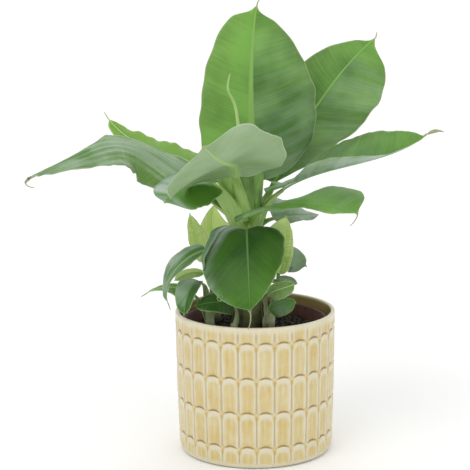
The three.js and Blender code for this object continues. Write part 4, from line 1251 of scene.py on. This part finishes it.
def tongue_relief(x, below, z, head_drop):
    """Depth under the plain wall, and how much pooled, dark and groove glaze lies there.

    x is the distance from the column's middle, below the distance under the arch line above, and
    head_drop how far that line has sunk there."""
    half = TONGUE_HALF - 0.3 * ease(below, 12, 26) - 2.2 * ease(below, 27, 30.3)
    outside = np.abs(x) - half
    web = ease(below, 26, 29)
    groove = ease(outside, -0.5, 0.3) * mix(1, 0.5, web)
    # The dish has a rounder head than the arch above it.
    dish_half = half - RIDGE_WIDTH
    rounder = 0.7 * dish_half * (1 - np.sqrt(1 - np.clip(x / dish_half, -1, 1) ** 2 * 0.97)) - head_drop
    dish = (ease(-outside, RIDGE_WIDTH - 1, RIDGE_WIDTH + 1)
            * ease(below - np.maximum(rounder, 0), CAP_LENGTH - 1.5, CAP_LENGTH + 3))
    # Two faint flutes run down every dish.
    flute = FLUTE_HEIGHT * np.cos(2 * np.pi * x / FLUTE_PITCH) * dish * (1 - ease(below, 20, 28))
    sink = ease(below, 26.5, 30.2)
    middle = 1 - ease(np.abs(x), 3, 6.4)
    head = 1 - ease(below, 0.1, 1.3)
    brink = ease(below, ROW_PITCH - 1.2, ROW_PITCH - 0.4)
    depth = np.maximum(GROOVE_DEPTH * groove, DISH_DEPTH * dish + SINK_DEPTH * sink - flute)
    depth = np.maximum(depth, GROOVE_DEPTH * mix(0.4, 0.9, middle) * np.maximum(head, brink))
    crown = 0.12 * np.clip(np.abs(x) / 7, 0, 1) ** 2 * (below < CAP_LENGTH)
    depth = depth + crown
    low = ease(z, LOWEST_LINE, LOWEST_LINE + 1.2)
    fade = (1 - ease(z, BAND_Z - 4, BAND_Z)) * low
    corner = ease(np.abs(x), 4.5, 7) * (1 - ease(below, 1.5, 7))
    ridge = 0.1 * ease(below, 2, 9)
    top_panel = 0.7 * ease(z, FIRST_HEAD, FIRST_HEAD + 3) * ease(-outside, 0.5, 3)
    pool = np.maximum.reduce([0.68 * dish - flute, 0.9 * sink, 0.8 * corner, ridge, top_panel])
    line = middle * np.maximum(ease(below, ROW_PITCH - 1.3, ROW_PITCH - 0.5), 1 - ease(below, 0.2, 0.9))
    shade = groove * (1 - web) * ease(below, 2, 6)
    return depth * fade, pool * (1 - ease(z, BAND_Z - 5, BAND_Z + 2)) * low, line * fade, 0.6 * shade * fade


def relief_levels():
    """Heights of the relief's rows of points, closer together at every arch line."""
    under_line = np.concatenate([
        [0, 0.25, 0.5, 0.8, 1.15, 1.6, 2.4, 3.4, 4.3, 4.8, 5.3, 5.8, 6.4], np.linspace(8, 27, 14),
        [28, 28.7, 29.1, 29.4, 29.7, 29.95, 30.2]])
    heads = [FIRST_HEAD - ROW_PITCH * row for row in range(-1, ROWS)]
    levels = np.concatenate([head - under_line for head in heads])
    return np.unique(levels[(levels > LOWEST_LINE - 0.3) & (levels < BAND_Z + 0.6)])


def column_strip():
    """One column of the pot, from the middle of its underside over the relief and the lip to its floor."""
    # Places across half a column, closer together towards the groove.
    side = np.array([0, 0.12, 0.24, 0.36, 0.47, 0.56, 0.64, 0.72, 0.79, 0.85, 0.9, 0.95, 1])
    u = np.concatenate([-side[:0:-1], side])
    turn = u * math.pi / COLUMNS + math.pi / COLUMNS - math.pi / 2
    drop = HEAD_DROP * (1 - np.sqrt(1 - u * u * 0.97))
    rows = []

    def ring(r, z, pool=0.0, line=0.0, groove=0.0, inside=0.0):
        rows.append([value + 0 * u for value in (r, z, pool, line, groove, inside)])

    for r in (0, 30, 58):
        ring(r, 0)
    for r, z in FOOT_CURVE:
        ring(r, z)
    for level in relief_levels():
        z = level - drop * (1 - ease(level, FIRST_HEAD + 1, BAND_Z)) * ease(level, LOWEST_LINE, 14)
        below = (FIRST_HEAD - level) % ROW_PITCH + 0 * u
        plain = wall_radius(z)
        x = u * math.pi * plain / COLUMNS
        depth, pool, line, groove = tongue_relief(x, below, z, drop)
        ring(plain - depth, z, pool, line, groove)
    lip = [math.radians(a) for a in (0, 15, 35, 55, 75, 90)]
    for a in lip:
        ring(RIM_RADIUS - LIP_ROUND * (1 - math.cos(a)), POT_HEIGHT - LIP_ROUND * (1 - math.sin(a)))
    # The inner wall carries painted shade: its inside value darkens it from the lip downwards.
    inner = RIM_RADIUS - WALL
    for a in lip[::-1]:
        ring(inner + LIP_ROUND * (1 - math.cos(a)), POT_HEIGHT - LIP_ROUND * (1 - math.sin(a)),
             inside=0.6 - 0.6 * math.sin(a))
    for z in np.linspace(POT_HEIGHT - 3, FLOOR_THICK + FLOOR_CORNER, 16):
        ring(mix(inner - 1.6, inner, (z - FLOOR_THICK) / (POT_HEIGHT - FLOOR_THICK)), z, inside=1)
    for a in (20, 45, 70, 90):
        a = math.radians(a)
        ring(inner - 1.6 - FLOOR_CORNER * (1 - math.cos(a)), FLOOR_THICK + FLOOR_CORNER * (1 - math.sin(a)),
             inside=1)
    for r in (30, 0):
        ring(r, FLOOR_THICK, inside=1)

    table = np.array(rows)
    r, z = table[:, 0], table[:, 1]
    points = np.stack([r * np.cos(turn), r * np.sin(turn), z], axis=-1).reshape(-1, 3)
    width = len(u)
    faces = [
        (i * width + j, i * width + j + 1, (i + 1) * width + j + 1, (i + 1) * width + j)
        for i in range(len(rows) - 1) for j in range(width - 1)
    ]
    values = {key: table[:, n] for n, key in ((2, "pool"), (3, "line"), (4, "groove"), (5, "inside"))}
    return points, faces, values


def ring_of_columns_nodes():
    """Repeats one column all round and joins the copies where they touch."""
    tree, given = new_nodes(
        "ring_of_columns", {"Columns": "NodeSocketInt", "Join": "NodeSocketFloat",
                            "Glaze": "NodeSocketMaterial"})
    spots = add(tree, "GeometryNodePoints", {"Count": given["Columns"]})
    number = add(tree, "GeometryNodeInputIndex")
    step = add(tree, "ShaderNodeMath", {0: 2 * math.pi, 1: given["Columns"]}, operation="DIVIDE")
    angle = add(tree, "ShaderNodeMath", {0: number, 1: step}, operation="MULTIPLY")
    turn = add(tree, "ShaderNodeCombineXYZ", {2: angle})
    rotation = add(tree, "FunctionNodeEulerToRotation", {0: turn})
    copies = add(
        tree, "GeometryNodeInstanceOnPoints",
        {"Points": spots, "Instance": given["Geometry"], "Rotation": rotation})
    real = add(tree, "GeometryNodeRealizeInstances", {"Geometry": copies})
    joined = add(tree, "GeometryNodeMergeByDistance", {"Geometry": real, "Distance": given["Join"]})
    dressed = add(tree, "GeometryNodeSetMaterial", {"Geometry": joined, "Material": given["Glaze"]})
    add(tree, "NodeGroupOutput", {0: dressed})
    return tree


def pot_piece(glaze):
    """The glazed pot, from its one column."""
    points, faces, values = column_strip()
    piece = piece_from("glazed_pot", points, faces, [glaze], values)
    run_nodes(piece, ring_of_columns_nodes(), {"Columns": COLUMNS, "Join": 0.02 * MM, "Glaze": glaze})
    declare(piece, "pot_ceramic")


# Nursery pot and compost


NURSERY_LOW = FLOOR_THICK + CLEARANCE


def nursery_radius(z):
    """Outer radius of the grower's pot at height z."""
    share = (z - NURSERY_LOW) / (NURSERY_RIM_Z - NURSERY_LOW)
    return mix(NURSERY_FOOT_RADIUS, NURSERY_RIM_RADIUS, share)


def turned(profile, sides):
    """Rings of a profile of radius and height, turned round the axis."""
    profile = np.array(profile, float)
    angle = 2 * np.pi * np.arange(sides) / sides
    r, z = profile[:, 0:1], profile[:, 1:2]
    return np.stack([r * np.cos(angle), r * np.sin(angle), z + 0 * angle], axis=-1)


def nursery_piece(material):
    """The thin grower's pot: only its rolled rim shows over the compost."""
    collar = NURSERY_RIM_RADIUS + NURSERY_COLLAR_STEP
    collar_foot = NURSERY_RIM_Z - NURSERY_COLLAR
    inner_foot = NURSERY_LOW + NURSERY_WALL
    profile = [[20, NURSERY_LOW]]
    profile += [[NURSERY_FOOT_RADIUS - 1, NURSERY_LOW], [NURSERY_FOOT_RADIUS, NURSERY_LOW + 1]]
    profile += [[nursery_radius(z), z] for z in (40, 80, collar_foot - 1)]
    profile += [[collar, collar_foot - 0.6], [collar, NURSERY_RIM_Z - 0.6]]
    profile += [[collar - 0.2, NURSERY_RIM_Z - 0.15], [collar - 0.7, NURSERY_RIM_Z]]
    profile += [[collar - NURSERY_WALL, NURSERY_RIM_Z - 0.2]]
    profile += [[nursery_radius(z) - NURSERY_WALL, z] for z in (NURSERY_RIM_Z - 1, 80, 40)]
    profile += [[NURSERY_FOOT_RADIUS - NURSERY_WALL, inner_foot], [20, inner_foot]]
    rings = turned(profile, NURSERY_SIDES)
    piece = piece_from(
        "grower_pot", with_ends(rings), tube_faces(len(rings), NURSERY_SIDES), [material])
    declare(piece, "pot_nursery")


def crumbs_nodes():
    """Scatters crumbs of many sizes over a surface, half sunk into it, and joins them to it."""
    tree, given = new_nodes(
        "scattered_crumbs", {"Crumb": "NodeSocketFloat", "Density": "NodeSocketFloat",
                             "Seed": "NodeSocketInt", "Compost": "NodeSocketMaterial"})
    normal = add(tree, "GeometryNodeInputNormal")
    up = add(tree, "ShaderNodeSeparateXYZ", {0: normal})
    on_top = add(tree, "FunctionNodeCompare", {0: up.outputs[2], 1: 0.5}, operation="GREATER_THAN")
    spots = add(
        tree, "GeometryNodeDistributePointsOnFaces",
        {"Mesh": given["Geometry"], "Selection": on_top, "Density": given["Density"], "Seed": given["Seed"]})
    # Each crumb has lumps of about 1.5 mm that shift its surface by up to 1.1 mm.
    crumb = add(tree, "GeometryNodeMeshIcoSphere", {"Radius": given["Crumb"], "Subdivisions": 2})
    lump = add(tree, "ShaderNodeTexNoise", {"Scale": 1 / (1.5 * MM), "Detail": 1.0}, noise_dimensions="3D")
    centred = add(
        tree, "ShaderNodeVectorMath", {0: lump.outputs["Color"], 1: (0.5, 0.5, 0.5)}, operation="SUBTRACT")
    shift = add(tree, "ShaderNodeVectorMath", {0: centred, "Scale": 2.2 * MM}, operation="SCALE")
    # Their sizes run from a third of the radius to one and a half times, and they lie turned at random.
    size = add(
        tree, "FunctionNodeRandomValue", {0: (0.35, 0.35, 0.3), 1: (1.5, 1.1, 0.9), "Seed": 3},
        data_type="FLOAT_VECTOR")
    turn = add(
        tree, "FunctionNodeRandomValue", {0: (0.0, 0.0, 0.0), 1: (6.3, 6.3, 6.3), "Seed": 5},
        data_type="FLOAT_VECTOR")
    copies = add(
        tree, "GeometryNodeInstanceOnPoints",
        {"Points": spots, "Instance": crumb, "Rotation": turn, "Scale": size})
    real = add(tree, "GeometryNodeRealizeInstances", {"Geometry": copies})
    lumpy = add(tree, "GeometryNodeSetPosition", {"Geometry": real, "Offset": shift})
    both = add(tree, "GeometryNodeJoinGeometry", {0: lumpy})
    tree.links.new(given["Geometry"], both.inputs[0])
    dressed = add(tree, "GeometryNodeSetMaterial", {"Geometry": both, "Material": given["Compost"]})
    add(tree, "NodeGroupOutput", {0: dressed})
    return tree


def compost_piece(material):
    """The filled compost, a little higher in the middle, uneven and strewn with crumbs."""
    low = NURSERY_LOW + NURSERY_WALL + CLEARANCE
    shoulder = SOIL_Z - SOIL_DROP
    edge = nursery_radius(shoulder) - SOIL_MARGIN
    profile = [[10, low], [nursery_radius(low) - SOIL_MARGIN, low], [edge, shoulder - 3]]
    surface = len(profile)
    for k in np.linspace(1, 0.001, 34):
        r = edge * math.sqrt(k)
        profile.append([r, mix(SOIL_Z, shoulder, ease(r, SOIL_CROWN_RADIUS, edge))])
    rings = turned(profile, SOIL_SIDES)
    x, y = rings[surface:, :, 0], rings[surface:, :, 1]
    bumps = (np.sin(x / 3.1 + 1.7 * np.sin(y / 5.3)) * np.sin(y / 2.7 + 1.3 * np.sin(x / 4.1))
             + 0.6 * np.sin(x / 1.3 + y / 2.1) * np.sin(y / 1.5 - x / 2.9))
    rings[surface:, :, 2] += 0.7 * bumps
    piece = piece_from(
        "compost_surface", with_ends(rings), tube_faces(len(rings), SOIL_SIDES), [material])
    run_nodes(
        piece, crumbs_nodes(),
        {"Crumb": CRUMB_RADIUS * MM, "Density": CRUMBS_PER_SQUARE_METRE, "Seed": 7, "Compost": material})
    declare(piece, "compost")


# Camera, floor and light


def set_up(data, right, up, back, place):
    """Puts a camera or a light into the scene, with the directions of its axes and its place."""
    thing = bpy.data.objects.new(data.name, data)
    rows = [[float(column[i]) for column in (right, up, back, place)] for i in range(3)]
    thing.matrix_world = Matrix(rows + [[0, 0, 0, 1]])
    bpy.context.scene.collection.objects.link(thing)
    return thing


def place_camera():
    """The photograph's camera, rolled so that the right side of the picture sits a little higher."""
    tilt, roll = math.radians(CAMERA_TILT), math.radians(CAMERA_ROLL)
    ahead = np.array([0, math.cos(tilt), -math.sin(tilt)])
    right = np.array([1.0, 0, 0])
    up = np.cross(right, ahead)
    right, up = (right * math.cos(roll) - up * math.sin(roll), up * math.cos(roll) + right * math.sin(roll))
    data = bpy.data.cameras.new("camera")
    data.sensor_width = SENSOR_WIDTH
    data.lens = FOCAL_PIXELS / PICTURE_PIXELS * SENSOR_WIDTH
    data.clip_end = CLIP_END
    bpy.context.scene.camera = set_up(data, right, up, -ahead, np.array(CAMERA_PLACE) * MM)


def studio_floor():
    """White seamless paper."""
    material, tree, place = new_material("seamless_paper")
    # Paper tooth, drawn 2 mm wide.
    tooth = add(tree, "ShaderNodeTexNoise", {"Vector": place, "Scale": 1 / (2 * MM), "Detail": 2.0})
    tone = add(tree, "ShaderNodeValToRGB", {"Fac": tooth}, stops=[(0.0, "#f7f7f7"), (1.0, "#fbfbfb")])
    rough = add(tree, "ShaderNodeMapRange", {"Value": tooth, "To Min": 0.9, "To Max": 1.0})
    finish_material(tree, tone, tooth, 0.02, rough)
    corners = [[x * FLOOR_HALF, y * FLOOR_HALF, 0] for x, y in ((-1, -1), (1, -1), (1, 1), (-1, 1))]
    piece_from("studio_floor", corners, [(0, 1, 2, 3)], [material])


def soft_sun(name, heading, height, spread, strength):
    """Even light from far away: where it stands (heading and height) and how wide it is, in degrees."""
    data = bpy.data.lights.new(name, "SUN")
    data.angle = math.radians(spread)
    data.energy = strength
    back = direction(heading, height)
    side = unit(np.cross([0, 0, 1.0], back))
    set_up(data, side, np.cross(back, side), back, back * 2)


def studio_light():
    """A white room with a wide key light on the left, a weaker fill on the right and one behind."""
    world = bpy.data.worlds.new("studio")
    world.use_nodes = True
    room = world.node_tree.nodes["Background"]
    room.inputs["Color"].default_value = linear("#ffffff")
    room.inputs["Strength"].default_value = ROOM_STRENGTH
    bpy.context.scene.world = world
    for sun in SUNS:
        soft_sun(*sun)
    bpy.context.scene.view_settings.view_transform = "Standard"


place_camera()
studio_floor()
studio_light()

pot_piece(glaze_material())
nursery_piece(nursery_material())
compost_piece(compost_material())
sheath = sheath_material()
for stem in STEMS:
    stem_piece(stem, sheath)
skins = {
    tint: [leaf_skin(tint, tones, True), leaf_skin(tint, tones, False)] for tint, tones in LEAF_TONES.items()
}
for number, leaf in enumerate(LEAVES):
    blade_piece(leaf, number, skins[leaf.get("looks", leaf["tint"])])
rolled_leaf(skins["lime"])
